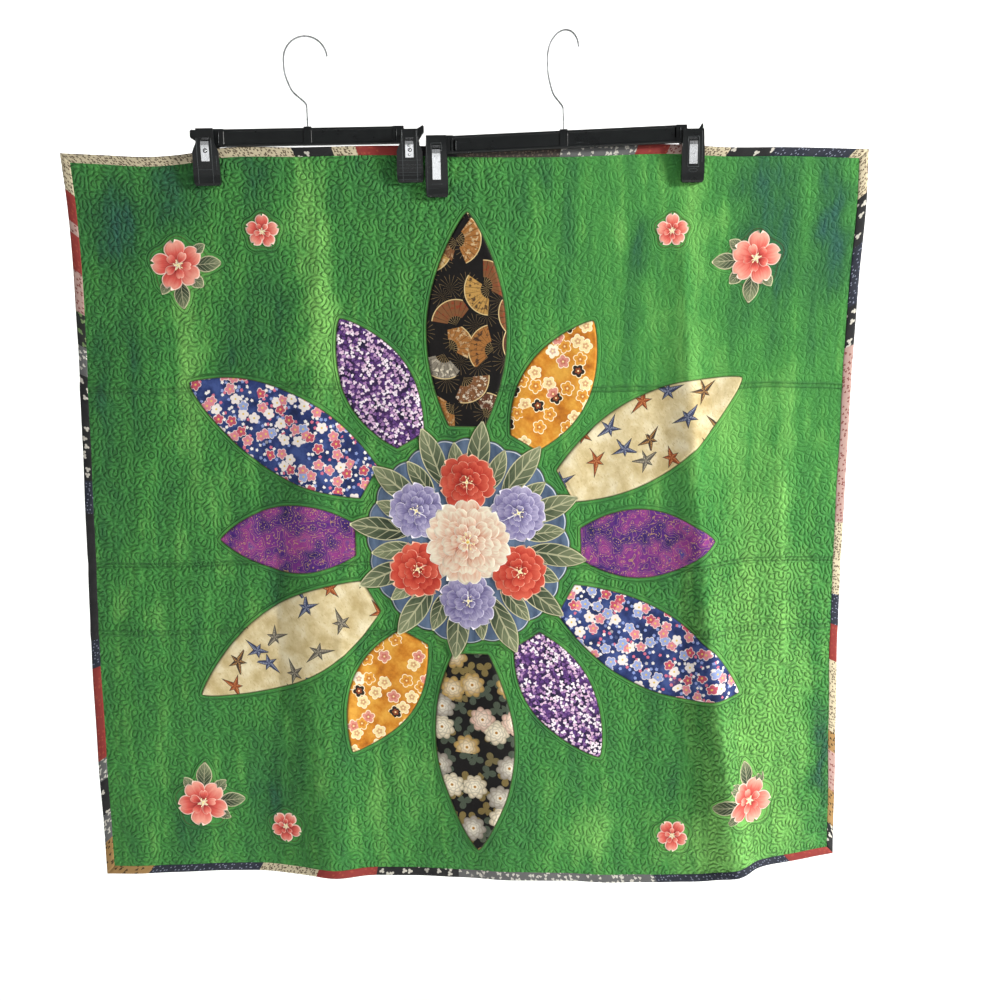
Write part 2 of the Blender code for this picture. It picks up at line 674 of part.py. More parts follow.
def beam_end(hanger, clip, sign):
    """The bar's end, from its ear inwards, as rows of x, top, bottom, half depth and recess."""
    neck_top = clip["top"] - NECK_DROP
    neck = (neck_top, neck_top - NECK_HEIGHT, NECK_DEPTH / 2, 0.0)
    line = bar_line(hanger, clip["x"])
    by_tip, by_neck = (line + rise for rise in clip["ear_rise"])
    side = SPRING_WIDTH / 2 + NECK_MARGIN
    tip = clip["width"] * clip["lever"] / 2 + clip["ear"]
    rows = [
        (tip, by_tip - EAR_ROUND, by_tip - EAR_HEIGHT + EAR_ROUND, EAR_TIP_DEPTH / 2, 0.0),
        (tip - EAR_ROUND, by_tip, by_tip - EAR_HEIGHT, NECK_DEPTH / 2, 0.0),
        (side + STEP_LENGTH, by_neck, neck[1] - STEP_LENGTH, NECK_DEPTH / 2, 0.0),
        (side, *neck),
        (-side, *neck),
    ]
    line = bar_line(hanger, clip["x"] - sign * side)
    block_end = -side - BLOCK_LENGTH
    for x, rise, recess in ((-side - STEP_LENGTH, BLOCK_RISE, 0.0),
                            (block_end, BLOCK_RISE, 0.0),
                            (block_end - STEP_LENGTH, 0.0, WEB_RECESS)):
        rows.append((x, line + rise, line - BEAM_HEIGHT, BEAM_DEPTH / 2, recess))
    return [(clip["x"] + sign * row[0], *row[1:]) for row in rows]


def beam_section(x, y, high, low, out, recess):
    """The loop round the bar at one place: an upright box whose sides may be hollowed."""
    upright = (
        (high - BEAM_CHAMFER, 0.0), (high - FLANGE, 0.0), (high - FLANGE - STEP_LENGTH, recess),
        (low + FLANGE + STEP_LENGTH, recess), (low + FLANGE, 0.0), (low + BEAM_CHAMFER, 0.0),
    )
    inset = out - BEAM_CHAMFER
    return [
        (x, y - inset, high), (x, y + inset, high),
        *((x, y + out - hollow, z) for z, hollow in upright),
        (x, y + inset, low), (x, y - inset, low),
        *((x, y - out + hollow, z) for z, hollow in upright[::-1]),
    ]


def beam(name, hanger, surface):
    """The bar between the clips, with its blocks, the hook's socket and an ear at each end."""
    left, right = hanger["clips"]
    rows = beam_end(hanger, left, -1)
    for offset, rise, recess in ((-SOCKET_RADIUS - STEP_LENGTH, 0.0, WEB_RECESS),
                                 (-SOCKET_RADIUS, SOCKET_RISE, 0.0),
                                 (SOCKET_RADIUS, SOCKET_RISE, 0.0),
                                 (SOCKET_RADIUS + STEP_LENGTH, 0.0, WEB_RECESS)):
        x = hanger["shank_x"] + offset
        line = bar_line(hanger, x)
        rows.append((x, line + rise, line - BEAM_HEIGHT, BEAM_DEPTH / 2, recess))
    rows += beam_end(hanger, right, 1)[::-1]
    loops = [beam_section(x, hanger["y"], *row) for x, *row in rows]
    return sweep(name, [point for loop in loops for point in loop], len(loops[0]), surface)


def hook(name, hanger, surface):
    """A round wire hook, from its tip over the crown and down a bent tail to the bar."""
    crown = WIRE_RADIUS - HOOK_RADIUS
    route = []
    for angle in np.radians(np.linspace(HOOK_TIP_ANGLE, 180, HOOK_STEPS + 1)):
        route.append((HOOK_RADIUS * math.cos(angle), crown + HOOK_RADIUS * math.sin(angle)))
    bend = hanger["bend_z"]
    tail = [(side, crown + (bend - crown) * share) for side, share in HOOK_TAIL]
    foot = bar_line(hanger, hanger["shank_x"] + SOCKET_RADIUS) + SOCKET_RISE + GAP
    route += rounded([route[-1], *tail, (0.0, bend - HOOK_STRAIGHT), (0.0, foot)])[1:]
    turn = math.radians(hanger["turn"])
    curve = bpy.data.curves.new(name, "CURVE")
    curve.dimensions = "3D"
    curve.bevel_depth = WIRE_RADIUS
    curve.bevel_resolution = 2
    curve.use_fill_caps = True
    line = curve.splines.new("POLY")
    line.points.add(len(route) - 1)
    for point, (side, z) in zip(line.points, route):
        x = hanger["shank_x"] + side * math.cos(turn)
        point.co = (x, hanger["y"] - side * math.sin(turn), z, 1.0)
    curve.materials.append(surface)
    made = bpy.data.objects.new(name, curve)
    bpy.context.scene.collection.objects.link(made)
    return made


def rounded(corners, steps=3):
    """A smooth line through the corners, with steps points for each stretch."""
    known = [Vector(c) for c in corners]
    known = [known[0] * 2 - known[1], *known, known[-1] * 2 - known[-2]]
    line = []
    for i in range(1, len(known) - 2):
        before, start, end, after = known[i - 1 : i + 3]
        for step in range(steps):
            f = step / steps
            line.append(
                (
                    start * 2
                    + (end - before) * f
                    + (before * 2 - start * 5 + end * 4 - after) * f**2
                    + (start * 3 - before - end * 3 + after) * f**3
                )
                / 2
            )
    return [tuple(p) for p in line] + [tuple(known[-2])]


def build_hangers(surfaces):
    for hanger in HANGERS:
        label = f"hanger_{hanger['side']}"
        beam(f"{label}_bar", hanger, surfaces["black_plastic"])
        hook(f"{label}_hook", hanger, surfaces["steel_wire"])
        for clip in hanger["clips"]:
            name = f"{label}_{clip['side']}"
            jaw(f"{name}_jaw_front", clip, -1, surfaces["black_plastic"])
            jaw(f"{name}_jaw_back", clip, 1, surfaces["black_plastic"])
            spring(f"{name}_spring", clip, surfaces["spring_steel"])


def main():
    clear_scene()
    surfaces = {
        "green_cotton": material("green_cotton", (0.07, 0.36, 0.08), 0.85),
        "print_fans": material("print_fans", (0.06, 0.035, 0.025), 0.8),
        "print_gold": material("print_gold", (0.62, 0.27, 0.04), 0.75),
        "print_cream": material("print_cream", (0.62, 0.52, 0.34), 0.8),
        "print_purple": material("print_purple", (0.17, 0.03, 0.24), 0.75),
        "print_navy": material("print_navy", (0.04, 0.06, 0.30), 0.8),
        "print_lilac": material("print_lilac", (0.36, 0.24, 0.52), 0.8),
        "print_peony": material("print_peony", (0.10, 0.085, 0.075), 0.8),
        "slate_blue": material("slate_blue", (0.11, 0.16, 0.30), 0.8),
        "coral_print": material("coral_print", (0.62, 0.14, 0.11), 0.8),
        "floral_print": material("floral_print", (0.50, 0.20, 0.22), 0.8),
        "binding_print": material("binding_print", (0.16, 0.13, 0.12), 0.8),
        "black_plastic": material("black_plastic", (0.012, 0.013, 0.014), 0.35),
        "steel_wire": material("steel_wire", (0.55, 0.55, 0.56), 0.25, 1.0),
        "spring_steel": material("spring_steel", (0.72, 0.73, 0.74), 0.22, 1.0),
    }
    build_quilt(surfaces)
    build_binding(surfaces)
    build_hangers(surfaces)


main()
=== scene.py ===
"""The looks of the quilted wall hanging and its clip hangers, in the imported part's frame."""
import json
import math
import random

import bpy
from mathutils import Matrix, Vector
from mathutils.bvhtree import BVHTree
import numpy as np


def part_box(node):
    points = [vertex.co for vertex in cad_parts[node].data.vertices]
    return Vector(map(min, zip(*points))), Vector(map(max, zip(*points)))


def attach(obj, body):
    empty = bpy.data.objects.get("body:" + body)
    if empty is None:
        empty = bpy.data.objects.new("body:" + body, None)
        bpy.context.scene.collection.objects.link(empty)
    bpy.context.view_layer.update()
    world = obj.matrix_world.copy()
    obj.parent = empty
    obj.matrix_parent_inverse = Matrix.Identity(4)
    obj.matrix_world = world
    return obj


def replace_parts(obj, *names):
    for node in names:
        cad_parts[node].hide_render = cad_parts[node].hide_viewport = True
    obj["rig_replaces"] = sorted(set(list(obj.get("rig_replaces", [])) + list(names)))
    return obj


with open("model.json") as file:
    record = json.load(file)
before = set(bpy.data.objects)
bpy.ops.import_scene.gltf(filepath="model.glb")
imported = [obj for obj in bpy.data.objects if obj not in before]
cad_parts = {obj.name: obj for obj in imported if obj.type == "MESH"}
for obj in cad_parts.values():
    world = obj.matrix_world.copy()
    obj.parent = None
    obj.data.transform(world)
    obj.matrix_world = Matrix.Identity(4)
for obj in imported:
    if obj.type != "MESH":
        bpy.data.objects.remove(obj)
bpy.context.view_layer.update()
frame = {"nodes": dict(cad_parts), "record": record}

# The flat quilt, as the solids have it. Flat points are metres across and down from its top left
QUILT_WIDTH = 1.016
QUILT_HEIGHT = 0.962
SIZE = np.array((QUILT_WIDTH, QUILT_HEIGHT))
QUILT_THICKNESS = 0.0045
FACE = QUILT_THICKNESS / 2
BINDING_THICKNESS = 0.0062

TOP_EDGE = (  # share across, z
    (0, -0.135), (0.05, -0.138), (0.117, -0.1412), (0.16, -0.1378), (0.185, -0.1336),
    (0.3, -0.1325), (0.43, -0.1325), (0.49, -0.135), (0.62, -0.1374), (0.77, -0.1364),
    (0.82, -0.1402), (0.9, -0.1415), (1, -0.1454),
)
BOTTOM_EDGE = (  # share across, z
    (0, -1.0834), (0.125, -1.0826), (0.28, -1.0895), (0.46, -1.0967), (0.6, -1.1027),
    (0.69, -1.1107), (0.75, -1.1115), (0.8, -1.108), (0.835, -1.0995), (0.87, -1.0925),
    (0.92, -1.091), (0.96, -1.0916), (1, -1.094),
)
LEFT_EDGE = (  # share down, x
    (0, -0.472), (0.06, -0.4672), (0.25, -0.4638), (0.45, -0.466), (0.8, -0.4695), (1, -0.466),
)
RIGHT_EDGE = (  # share down, x
    (0, 0.544), (0.06, 0.543), (0.17, 0.535), (0.25, 0.5305), (0.47, 0.5255), (0.67, 0.525),
    (0.83, 0.529), (1, 0.531),
)
FOLDS = (  # share across at the top, at the bottom, half width, depth at the top, at the bottom
    (0.06, 0.05, 0.05, 0, 0.004),
    (0.215, 0.2, 0.055, 0, -0.006),
    (0.298, 0.305, 0.036, 0.002, 0.013),
    (0.4, 0.43, 0.06, 0.001, -0.004),
    (0.53, 0.545, 0.055, 0.001, 0.008),
    (0.69, 0.72, 0.06, 0, -0.007),
    (0.768, 0.842, 0.026, 0.003, 0.016),
)
FOLDS_START, FOLDS_GROWN = 0.075, 0.375
FLAP_START, FLAP_END = 0.2, 1.15
FLAP_DEPTH = 0.056
FLAP_STRAIGHT = 0.35
FLAP_RIDGE = (0.768, 0.842)
CREASES = (  # share down, half width, depth towards the viewer
    (0.312, 0.009, 0.0016), (0.553, 0.009, -0.0015), (0.648, 0.009, 0.0016),
)
PRESSED_FOLDS = (  # share across at its top and bottom, share down where it starts and ends, ...
    (0.77, 0.843, 0.1, 0.92, 0.011, 0.0036),  # ..., half width, depth towards the viewer
    (0.312, 0.322, 0.07, 0.27, 0.008, 0.0022),
    (0.322, 0.334, 0.6, 0.84, 0.009, 0.0026),
    (0.227, 0.229, 0.36, 0.55, 0.007, -0.002),
    (0.25, 0.243, 0.52, 0.8, 0.009, -0.0018),
    (0.395, 0.402, 0.28, 0.62, 0.009, 0.0017),
    (0.118, 0.112, 0.3, 0.66, 0.01, 0.0014),
    (0.905, 0.925, 0.4, 0.86, 0.012, 0.0022),
)
PRESSED_EDGE = 0.001
PRESSED_FADE = 0.05
SLACK = 0.001  # how far the cloth waves by itself
SLACK_WAVES = (0.07, 0.095, 0.13, 0.18)
DRAPE_STEP = 0.002

# The applique, as the solids have it
MEDALLION = np.array((0.508, 0.5))
PETAL_CLOTHS = (
    "fans", "gold", "cream", "purple", "navy", "lilac",
    "peony", "gold", "cream", "purple", "navy", "lilac",
)
PETALS = len(PETAL_CLOTHS)
PETAL_START = 0.15
PETAL_SIZES = ((0.42, 0.052), (0.33, 0.045))  # reach and half width, long and short by turns
PETAL_GRIDS = ((86, 29), (60, 27))
PETAL_BASE = 0.12
PETAL_FULLNESS = 0.8
PETAL_SINK = 0.0002
RIPPLE_LENGTH, RIPPLE_HEIGHT, RIPPLE_EASE = 0.021, 0.00035, 0.012
DISC_RADIUS = 0.13
DISC_SCALLOPS = 24
DISC_SCALLOP_DEPTH = 0.005
SPRIG_OFFSET, SPRIG_RADIUS = (0.372, 0.362), 0.033
BUD_OFFSET, BUD_RADIUS = (0.262, 0.395), 0.021
WREATH_LEAVES = 24
WREATH_LEAF_SIZES = ((0.075, 0.083, 0.015), (0.07, 0.06, 0.012))  # start, length, half width

# The quilting
GROUND_STEP = 0.0032
BACKING_STEP = 0.0042
GROUND_INSET = 0.0016
STIPPLE_SPACING = 0.0048  # between the lines of stitching
STIPPLE_WAVES = 13
STIPPLE_GROOVE = 0.95  # the groove's half width, where the waves' mean height is 1
SOFT_GROOVE = 0.8
PUFF_HEIGHT = 0.001
PUCKER_SHARE = 0.65  # the cloth's own puckers are broader than the lines of stitching
ECHO_GROOVE = 0.0016
ECHO_LINE = 0.0052
STIPPLE_FROM = 0.0078
STIPPLE_FADE = 0.0022
PATCH_LIFT = 0.0004
PATCH_PUFF = 0.0017
TURN_WIDTH = 0.003
WEAVE_PER_METRE = 1900
JAW_EASE = 0.007  # from a clip's jaw to where the quilting stands free
BORDER_EASE = 0.004  # from the binding to where it does
BACKING_DYE = 0.25  # how strong the dye's streaks are on the backing
OUTLINE_AT = 0.0007  # the stitched line round each sewn-on piece
OUTLINE_HALF = 0.0011
CREASE_PAIR = 0.0024  # from a storage crease's middle to each of its two lines
CREASE_WIDTH = 0.0019
CREASE_WANDER = 0.004

# The camera, from the photograph
PICTURE = 1000
FOCAL_PIXELS = 1150
CAMERA_PLACE = (0.0736, -1.487, -0.3998)
CAMERA_PITCH = 7.0
CAMERA_ROLL = 0.9


# The drape


def smooth_table(rows, at):
    """A smooth curve through the rows of a table: a cubic with slopes from its neighbours."""
    knots, values = np.array(rows).T
    slopes = np.gradient(values, knots)
    at = np.clip(at, knots[0], knots[-1])
    span = np.clip(np.searchsorted(knots, at, side="right") - 1, 0, len(knots) - 2)
    width = knots[span + 1] - knots[span]
    f = (at - knots[span]) / width
    return (
        values[span] * (2 * f**3 - 3 * f**2 + 1)
        + values[span + 1] * (3 * f**2 - 2 * f**3)
        + slopes[span] * width * (f**3 - 2 * f**2 + f)
        + slopes[span + 1] * width * (f**3 - f**2)
    )


def eased(share):
    share = np.clip(share, 0.0, 1.0)
    return share * share * (3 - 2 * share)


def bell(off):
    return np.exp(-(off**2))


def depth(across, down):
    """How far the cloth stands back, in Y, at shares of its width and height."""
    held = eased((down - FOLDS_START) / (FOLDS_GROWN - FOLDS_START))
    grown = np.clip((down - FOLDS_START) / (1 - FOLDS_START), 0.0, 1.0)
    back = np.zeros_like(across)
    for at_top, at_bottom, half, start, end in FOLDS:
        off = across - at_top - (at_bottom - at_top) * grown
        back -= held * (start + (end - start) * grown) * bell(off * QUILT_WIDTH / half)
    ridge = FLAP_RIDGE[0] + (FLAP_RIDGE[1] - FLAP_RIDGE[0]) * grown
    beyond = np.clip((across - ridge) / (1 - ridge), 0.0, 1.0)
    fall = FLAP_DEPTH * eased((down - FLAP_START) / (FLAP_END - FLAP_START))
    back += fall * beyond * (FLAP_STRAIGHT + (1 - FLAP_STRAIGHT) * beyond)
    for at, half, out in CREASES:
        back -= out * bell((down - at) * QUILT_HEIGHT / half)
    for at_top, at_bottom, start, end, half, out in PRESSED_FOLDS:
        off = (across - at_top - (at_bottom - at_top) * grown) * QUILT_WIDTH
        ridge = np.exp((PRESSED_EDGE - np.hypot(off, PRESSED_EDGE)) / half)
        long = eased((down - start) / PRESSED_FADE) * eased((end - down) / PRESSED_FADE)
        back -= out * ridge * long
    flat = np.stack([across.ravel(), down.ravel()], axis=1) * SIZE
    return back + held * wobble(flat, 31, SLACK_WAVES, SLACK)[:, 0].reshape(across.shape)


def wobble(flat, seed, wavelengths, amount):
    """A smooth uneven shift of flat points."""
    chance = random.Random(seed)
    shift = np.zeros_like(flat)
    for wavelength in wavelengths:
        for axis in (0, 1):
            turn = chance.uniform(0, 2 * math.pi)
            phase = chance.uniform(0, 2 * math.pi)
            along = flat[:, 0] * math.cos(turn) + flat[:, 1] * math.sin(turn)
            shift[:, axis] += np.sin(along * 2 * math.pi / wavelength + phase)
    return shift * amount / math.sqrt(len(wavelengths))


def running_share(slope, axis):
    """How far along its width a draped cloth has got, where a steep stretch covers less."""
    run = np.moveaxis(np.sqrt(np.maximum(1 - slope**2, 0.25)), axis, 0)
    total = np.cumsum((run[1:] + run[:-1]) / 2, axis=0)
    total = np.concatenate([np.zeros_like(total[:1]), total]) / total[-1]
    return np.moveaxis(total, 0, axis)


def draped_cloth():
    """Points and normals of the cloth's middle surface on an even grid over the flat quilt."""
    columns, rows = (round(size / DRAPE_STEP) + 1 for size in SIZE)
    across, down = np.meshgrid(
        np.linspace(0, 1, columns), np.linspace(0, 1, rows), indexing="ij"
    )
    back = depth(across, down)
    slope_x = np.gradient(back, 1 / (columns - 1), axis=0) / QUILT_WIDTH
    slope_z = np.gradient(back, 1 / (rows - 1), axis=1) / QUILT_HEIGHT
    left, right = smooth_table(LEFT_EDGE, down), smooth_table(RIGHT_EDGE, down)
    top, bottom = smooth_table(TOP_EDGE, across), smooth_table(BOTTOM_EDGE, across)
    x = left + (right - left) * running_share(slope_x, 0)
    z = top + (bottom - top) * running_share(slope_z, 1)
    points = np.stack([x, back, z], axis=-1)
    normals = np.cross(np.gradient(points, axis=1), np.gradient(points, axis=0))
    normals /= np.linalg.norm(normals, axis=-1, keepdims=True)
    normals *= np.where(normals[..., 1:2] > 0, -1.0, 1.0)
    return points, normals


CLOTH_POINTS, CLOTH_NORMALS = draped_cloth()


def between(grid, flat):
    """A value of the grid at flat points, in proportion between its four nearest."""
    last = np.array(grid.shape[:2]) - 1
    place = np.clip(flat / SIZE, 0, 1) * last
    low = np.minimum(place.astype(int), last - 1)
    part = (place - low)[..., None]
    a, b = low.T
    near = grid[a, b] * (1 - part[:, 1]) + grid[a, b + 1] * part[:, 1]
    far = grid[a + 1, b] * (1 - part[:, 1]) + grid[a + 1, b + 1] * part[:, 1]
    return near * (1 - part[:, 0]) + far * part[:, 0]


def draped(flat, out):
    """Flat points put on the hung cloth, out from its middle surface towards the viewer."""
    flat = np.reshape(flat, (-1, 2))
    return between(CLOTH_POINTS, flat) + between(CLOTH_NORMALS, flat) * np.reshape(out, (-1, 1))


# Meshes


def make_mesh(name, points, faces, surfaces, uv=None, marks=None, face_surface=None):
    """A smooth mesh object, with a UV and named float values at its points."""
    mesh = bpy.data.meshes.new(name)
    mesh.from_pydata(np.asarray(points, float).tolist(), [], [list(map(int, f)) for f in faces])
    corners = np.empty(len(mesh.loops), np.int32)
    mesh.loops.foreach_get("vertex_index", corners)
    if uv is not None:
        layer = mesh.uv_layers.new(name="flat")
        layer.data.foreach_set("uv", np.asarray(uv, np.float32)[corners].ravel())
    for mark, values in (marks or {}).items():
        attribute = mesh.attributes.new(mark, "FLOAT", "POINT")
        attribute.data.foreach_set("value", np.asarray(values, np.float32))
    for surface in surfaces:
        mesh.materials.append(surface)
    if face_surface is not None:
        mesh.polygons.foreach_set("material_index", np.asarray(face_surface, np.int32))
    mesh.shade_smooth()
    return linked(name, mesh)


def linked(name, data):
    made = bpy.data.objects.new(name, data)
    bpy.context.scene.collection.objects.link(made)
    return made


class Pieces:
    """Points, faces and values gathered from many patches into one mesh."""

    def __init__(self):
        self.points, self.faces, self.uv, self.surface = [], [], [], []
        self.marks = {}
        self.count = 0

    def add(self, points, faces, uv, surface, **marks):
        self.points.append(points)
        self.faces += [tuple(int(i) + self.count for i in f) for f in faces]
        self.uv.append(uv)
        self.surface += [surface] * len(faces)
        for mark, values in marks.items():
            self.marks.setdefault(mark, []).append(np.broadcast_to(values, len(points)))
        self.count += len(points)

    def build(self, name, surfaces):
        marks = {mark: np.concatenate(values) for mark, values in self.marks.items()}
        return make_mesh(name, np.vstack(self.points), self.faces, surfaces,
                         np.vstack(self.uv), marks, self.surface)


def grid_faces(columns, rows, flip=False):
    """Quads over a grid of points that is stored column by column."""
    i, j = np.meshgrid(np.arange(columns - 1), np.arange(rows - 1), indexing="ij")
    a = (i * rows + j).ravel()
    quads = np.stack([a, a + 1, a + rows + 1, a + rows], axis=1)
    return quads[:, ::-1] if flip else quads


def rim_of_grid(columns, rows):
    """The numbers of a grid's outer points, in order round it."""
    grid = np.arange(columns * rows).reshape(columns, rows)
    return [*grid[:, 0], *grid[-1, 1:], *grid[-2::-1, -1], *grid[0, -2:0:-1]]


def patch_solid(flat, heights, base):
    """A thin closed solid from a grid of flat points: a shaped top over an even underside."""
    columns, rows = flat.shape[:2]
    count = columns * rows
    c, r = columns // 2, rows // 2
    (ax, ay), (bx, by) = flat[c + 1, r] - flat[c, r], flat[c, r + 1] - flat[c, r]
    turned = ax * by < ay * bx
    top = [tuple(f) for f in grid_faces(columns, rows, flip=turned)]
    faces = top + [tuple(i + count for i in f[::-1]) for f in top]
    rim = rim_of_grid(columns, rows)
    for i, j in zip(rim, rim[1:] + rim[:1]):
        side = (i, j, j + count, i + count)
        faces.append(side if turned else side[::-1])
    return np.vstack([draped(flat, heights), draped(flat, base)]), faces


# Outlines on the flat quilt


def heading(angle):
    """A step at an angle clockwise from straight up."""
    return np.stack([np.sin(angle), -np.cos(angle)], axis=-1)


def around(middle, angles, radii):
    return middle + radii[..., None] * heading(angles)


def aimed(base, angle, along, aside):
    """Flat points at distances along an angle and to its right."""
    right = np.array((math.cos(angle), math.sin(angle)))
    return around(base, angle, along) + aside[..., None] * right


def petal_place(number, share, side):
    """A flat point of a petal, at a share of its length and -1 to 1 across its width."""
    reach, half = PETAL_SIZES[number % 2]
    width = half * np.sin(np.pi * (PETAL_BASE + (1 - PETAL_BASE) * share)) ** PETAL_FULLNESS
    out = PETAL_START + (reach - PETAL_START) * share
    return aimed(MEDALLION, number * 2 * math.pi / PETALS, out, width * side), width


def petal_outline(number):
    share = 1 - (1 - np.linspace(0, 1, 26)) ** 1.5
    right, _ = petal_place(number, share, 1.0)
    left, _ = petal_place(number, share[-2::-1], -1.0)
    return np.concatenate([right, left])


def disc_radius(angles):
    return DISC_RADIUS + DISC_SCALLOP_DEPTH * np.abs(np.cos(DISC_SCALLOPS / 2 * angles))


def wreath_leaves():
    """The leaves round the wreath: each one's base, angle, length and half width."""
    for number in range(WREATH_LEAVES):
        angle = 2 * math.pi * (number + 0.5) / WREATH_LEAVES
        start, length, half = WREATH_LEAF_SIZES[number % 2]
        yield MEDALLION + heading(angle) * start, angle, length, half


def blossom_outline(place, radius, towards=None):
    angles = np.linspace(0, 2 * math.pi, 60, endpoint=False)
    radii = radius * (1 + 0.1 * np.cos(5 * angles))
    if towards is not None:
        for side in (-0.7, 0.7):
            away = np.abs((angles - towards - side + math.pi) % (2 * math.pi) - math.pi)
            radii = np.maximum(radii, radius * (1.75 - 2.2 * away))
    return around(place, angles, radii)


def corner_places(offset):
    """A place in each corner, as its name, its flat middle and the angle towards the centre."""
    for down_name, down_sign in (("upper", -1), ("lower", 1)):
        for across_name, across_sign in (("left", -1), ("right", 1)):
            place = MEDALLION + (across_sign * offset[0], down_sign * offset[1])
            towards = math.atan2(-across_sign * offset[0], down_sign * offset[1])
            yield f"{down_name}_{across_name}", place, towards


def sewn_outlines():
    """Every sewn-on shape's outline, for the echo quilting."""
    yield from (petal_outline(number) for number in range(PETALS))
    angles = np.linspace(0, 2 * math.pi, 240, endpoint=False)
    yield around(MEDALLION, angles, disc_radius(angles))
    for base, angle, length, half in wreath_leaves():
        flat, _, _ = flat_leaf(base, angle, length, half, 21)
        yield flat.reshape(-1, 2)[rim_of_grid(*flat.shape[:2])]
    for _, place, towards in corner_places(SPRIG_OFFSET):
        yield blossom_outline(place, SPRIG_RADIUS, towards)
    for _, place, _ in corner_places(BUD_OFFSET):
        yield blossom_outline(place, BUD_RADIUS)


def inside(points, outline):
    held = np.zeros(len(points), bool)
    for (x1, y1), (x2, y2) in zip(outline, np.roll(outline, -1, axis=0)):
        if y1 == y2:
            continue
        level = (points[:, 1] > min(y1, y2)) & (points[:, 1] <= max(y1, y2))
        crossing = x1 + (points[:, 1] - y1) / (y2 - y1) * (x2 - x1)
        held ^= level & (points[:, 0] < crossing)
    return held


def signed_distance(points, outline, reach=0.03):
    """The distance to an outline where it is near, below zero inside it."""
    low, high = outline.min(axis=0) - reach, outline.max(axis=0) + reach
    near = ((points > low) & (points < high)).all(axis=1)
    some = points[near]
    found = np.full(len(some), reach)
    for start, end in zip(outline, np.roll(outline, -1, axis=0)):
        line = end - start
        share = np.clip((some - start) @ line / max(line @ line, 1e-12), 0, 1)
        found = np.minimum(found, np.linalg.norm(some - start - share[:, None] * line, axis=1))
    distance = np.full(len(points), reach)
    distance[near] = np.where(inside(some, outline), -found, found)
    return distance


# The quilting's meander: it runs where a sum of even waves from all directions comes to nought


def stipple_waves():
    """Each wave's steepness across and down the flat quilt, and its phase."""
    chance = random.Random(5)
    waves = []
    for number in range(STIPPLE_WAVES):
        turn = math.pi * (number + chance.uniform(-0.3, 0.3)) / STIPPLE_WAVES
        size = math.sqrt(8) / STIPPLE_SPACING * chance.uniform(0.80, 1.20)
        phase = chance.uniform(0, 2 * math.pi)
        waves.append((size * math.cos(turn), size * math.sin(turn), phase))
    return waves


WAVES = stipple_waves()
WAVE_MEAN = math.sqrt(STIPPLE_WAVES / 2)


def stipple(flat):
    total = sum(np.sin(flat[:, 0] * x + flat[:, 1] * y + phase) for x, y, phase in WAVES)
    return total / WAVE_MEAN


# The dye of the ground: vertical streaks, laid down one by one

DYE_STREAKS = (  # share across, share down, half width, half length, strength: - teal, + light
    (0.06, 0.09, 0.035, 0.055, -0.85), (0.137, 0.05, 0.03, 0.055, -0.8),
    (0.231, 0.03, 0.022, 0.05, -0.65), (0.3, 0.1, 0.03, 0.11, 0.4),
    (0.315, 0.23, 0.018, 0.075, 0.8), (0.225, 0.27, 0.036, 0.07, -0.5),
    (0.262, 0.21, 0.026, 0.06, -0.45), (0.145, 0.26, 0.024, 0.12, 0.55),
    (0.06, 0.28, 0.04, 0.12, -0.35), (0.355, 0.03, 0.016, 0.04, -0.35),
    (0.42, 0.06, 0.02, 0.06, -0.2), (0.48, 0.05, 0.016, 0.04, -0.5),
    (0.595, 0.03, 0.012, 0.03, -0.45), (0.633, 0.12, 0.012, 0.1, -0.25),
    (0.71, 0.13, 0.012, 0.04, -0.65), (0.79, 0.1, 0.03, 0.08, 0.45),
    (0.88, 0.1, 0.055, 0.15, -0.7), (0.962, 0.1, 0.018, 0.09, -0.95),
    (0.84, 0.32, 0.07, 0.12, 0.3), (0.88, 0.58, 0.06, 0.18, 0.5),
    (0.89, 0.87, 0.075, 0.2, 0.65), (0.81, 0.97, 0.05, 0.06, 0.5),
    (0.975, 0.86, 0.012, 0.12, -0.9), (0.03, 0.45, 0.012, 0.16, -0.35),
    (0.06, 0.62, 0.02, 0.1, 0.15), (0.11, 0.92, 0.024, 0.06, -0.45),
    (0.22, 0.88, 0.03, 0.07, -0.5), (0.25, 0.6, 0.03, 0.14, -0.3),
    (0.36, 0.9, 0.02, 0.06, 0.2), (0.59, 0.72, 0.012, 0.08, -0.65),
    (0.5, 0.93, 0.03, 0.05, -0.25), (0.65, 0.93, 0.05, 0.04, 0.3),
    (0.74, 0.7, 0.02, 0.09, -0.35),
)


def dye(flat):
    across, down = (flat / SIZE).T
    across = across + wobble(flat, 21, (0.05, 0.09, 0.16), 0.006)[:, 0] / QUILT_WIDTH
    total = np.zeros(len(flat))
    for at, low, half, long, strength in DYE_STREAKS:
        total += strength * bell((across - at) / half) * bell((down - low) / long)
    return np.clip(total, -1.2, 1.2)


# Materials


def rgb(code):
    """A linear colour from a display colour written as six hex digits."""
    parts = [int(code[i : i + 2], 16) / 255 for i in (0, 2, 4)]
    return tuple(p / 12.92 if p <= 0.04045 else ((p + 0.055) / 1.055) ** 2.4 for p in parts)


class Value:
    """What a node gives. Arithmetic with it adds the nodes that work it out."""

    def __init__(self, nodes, socket):
        self.nodes, self.socket = nodes, socket

    def __add__(self, other):
        return self.nodes.math("ADD", self, other)

    def __sub__(self, other):
        return self.nodes.math("SUBTRACT", self, other)

    def __rsub__(self, other):
        return self.nodes.math("SUBTRACT", other, self)

    def __mul__(self, other):
        return self.nodes.math("MULTIPLY", self, other)

    def __truediv__(self, other):
        return self.nodes.math("DIVIDE", self, other)

    def __abs__(self):
        return self.nodes.math("ABSOLUTE", self)

    __radd__ = __add__


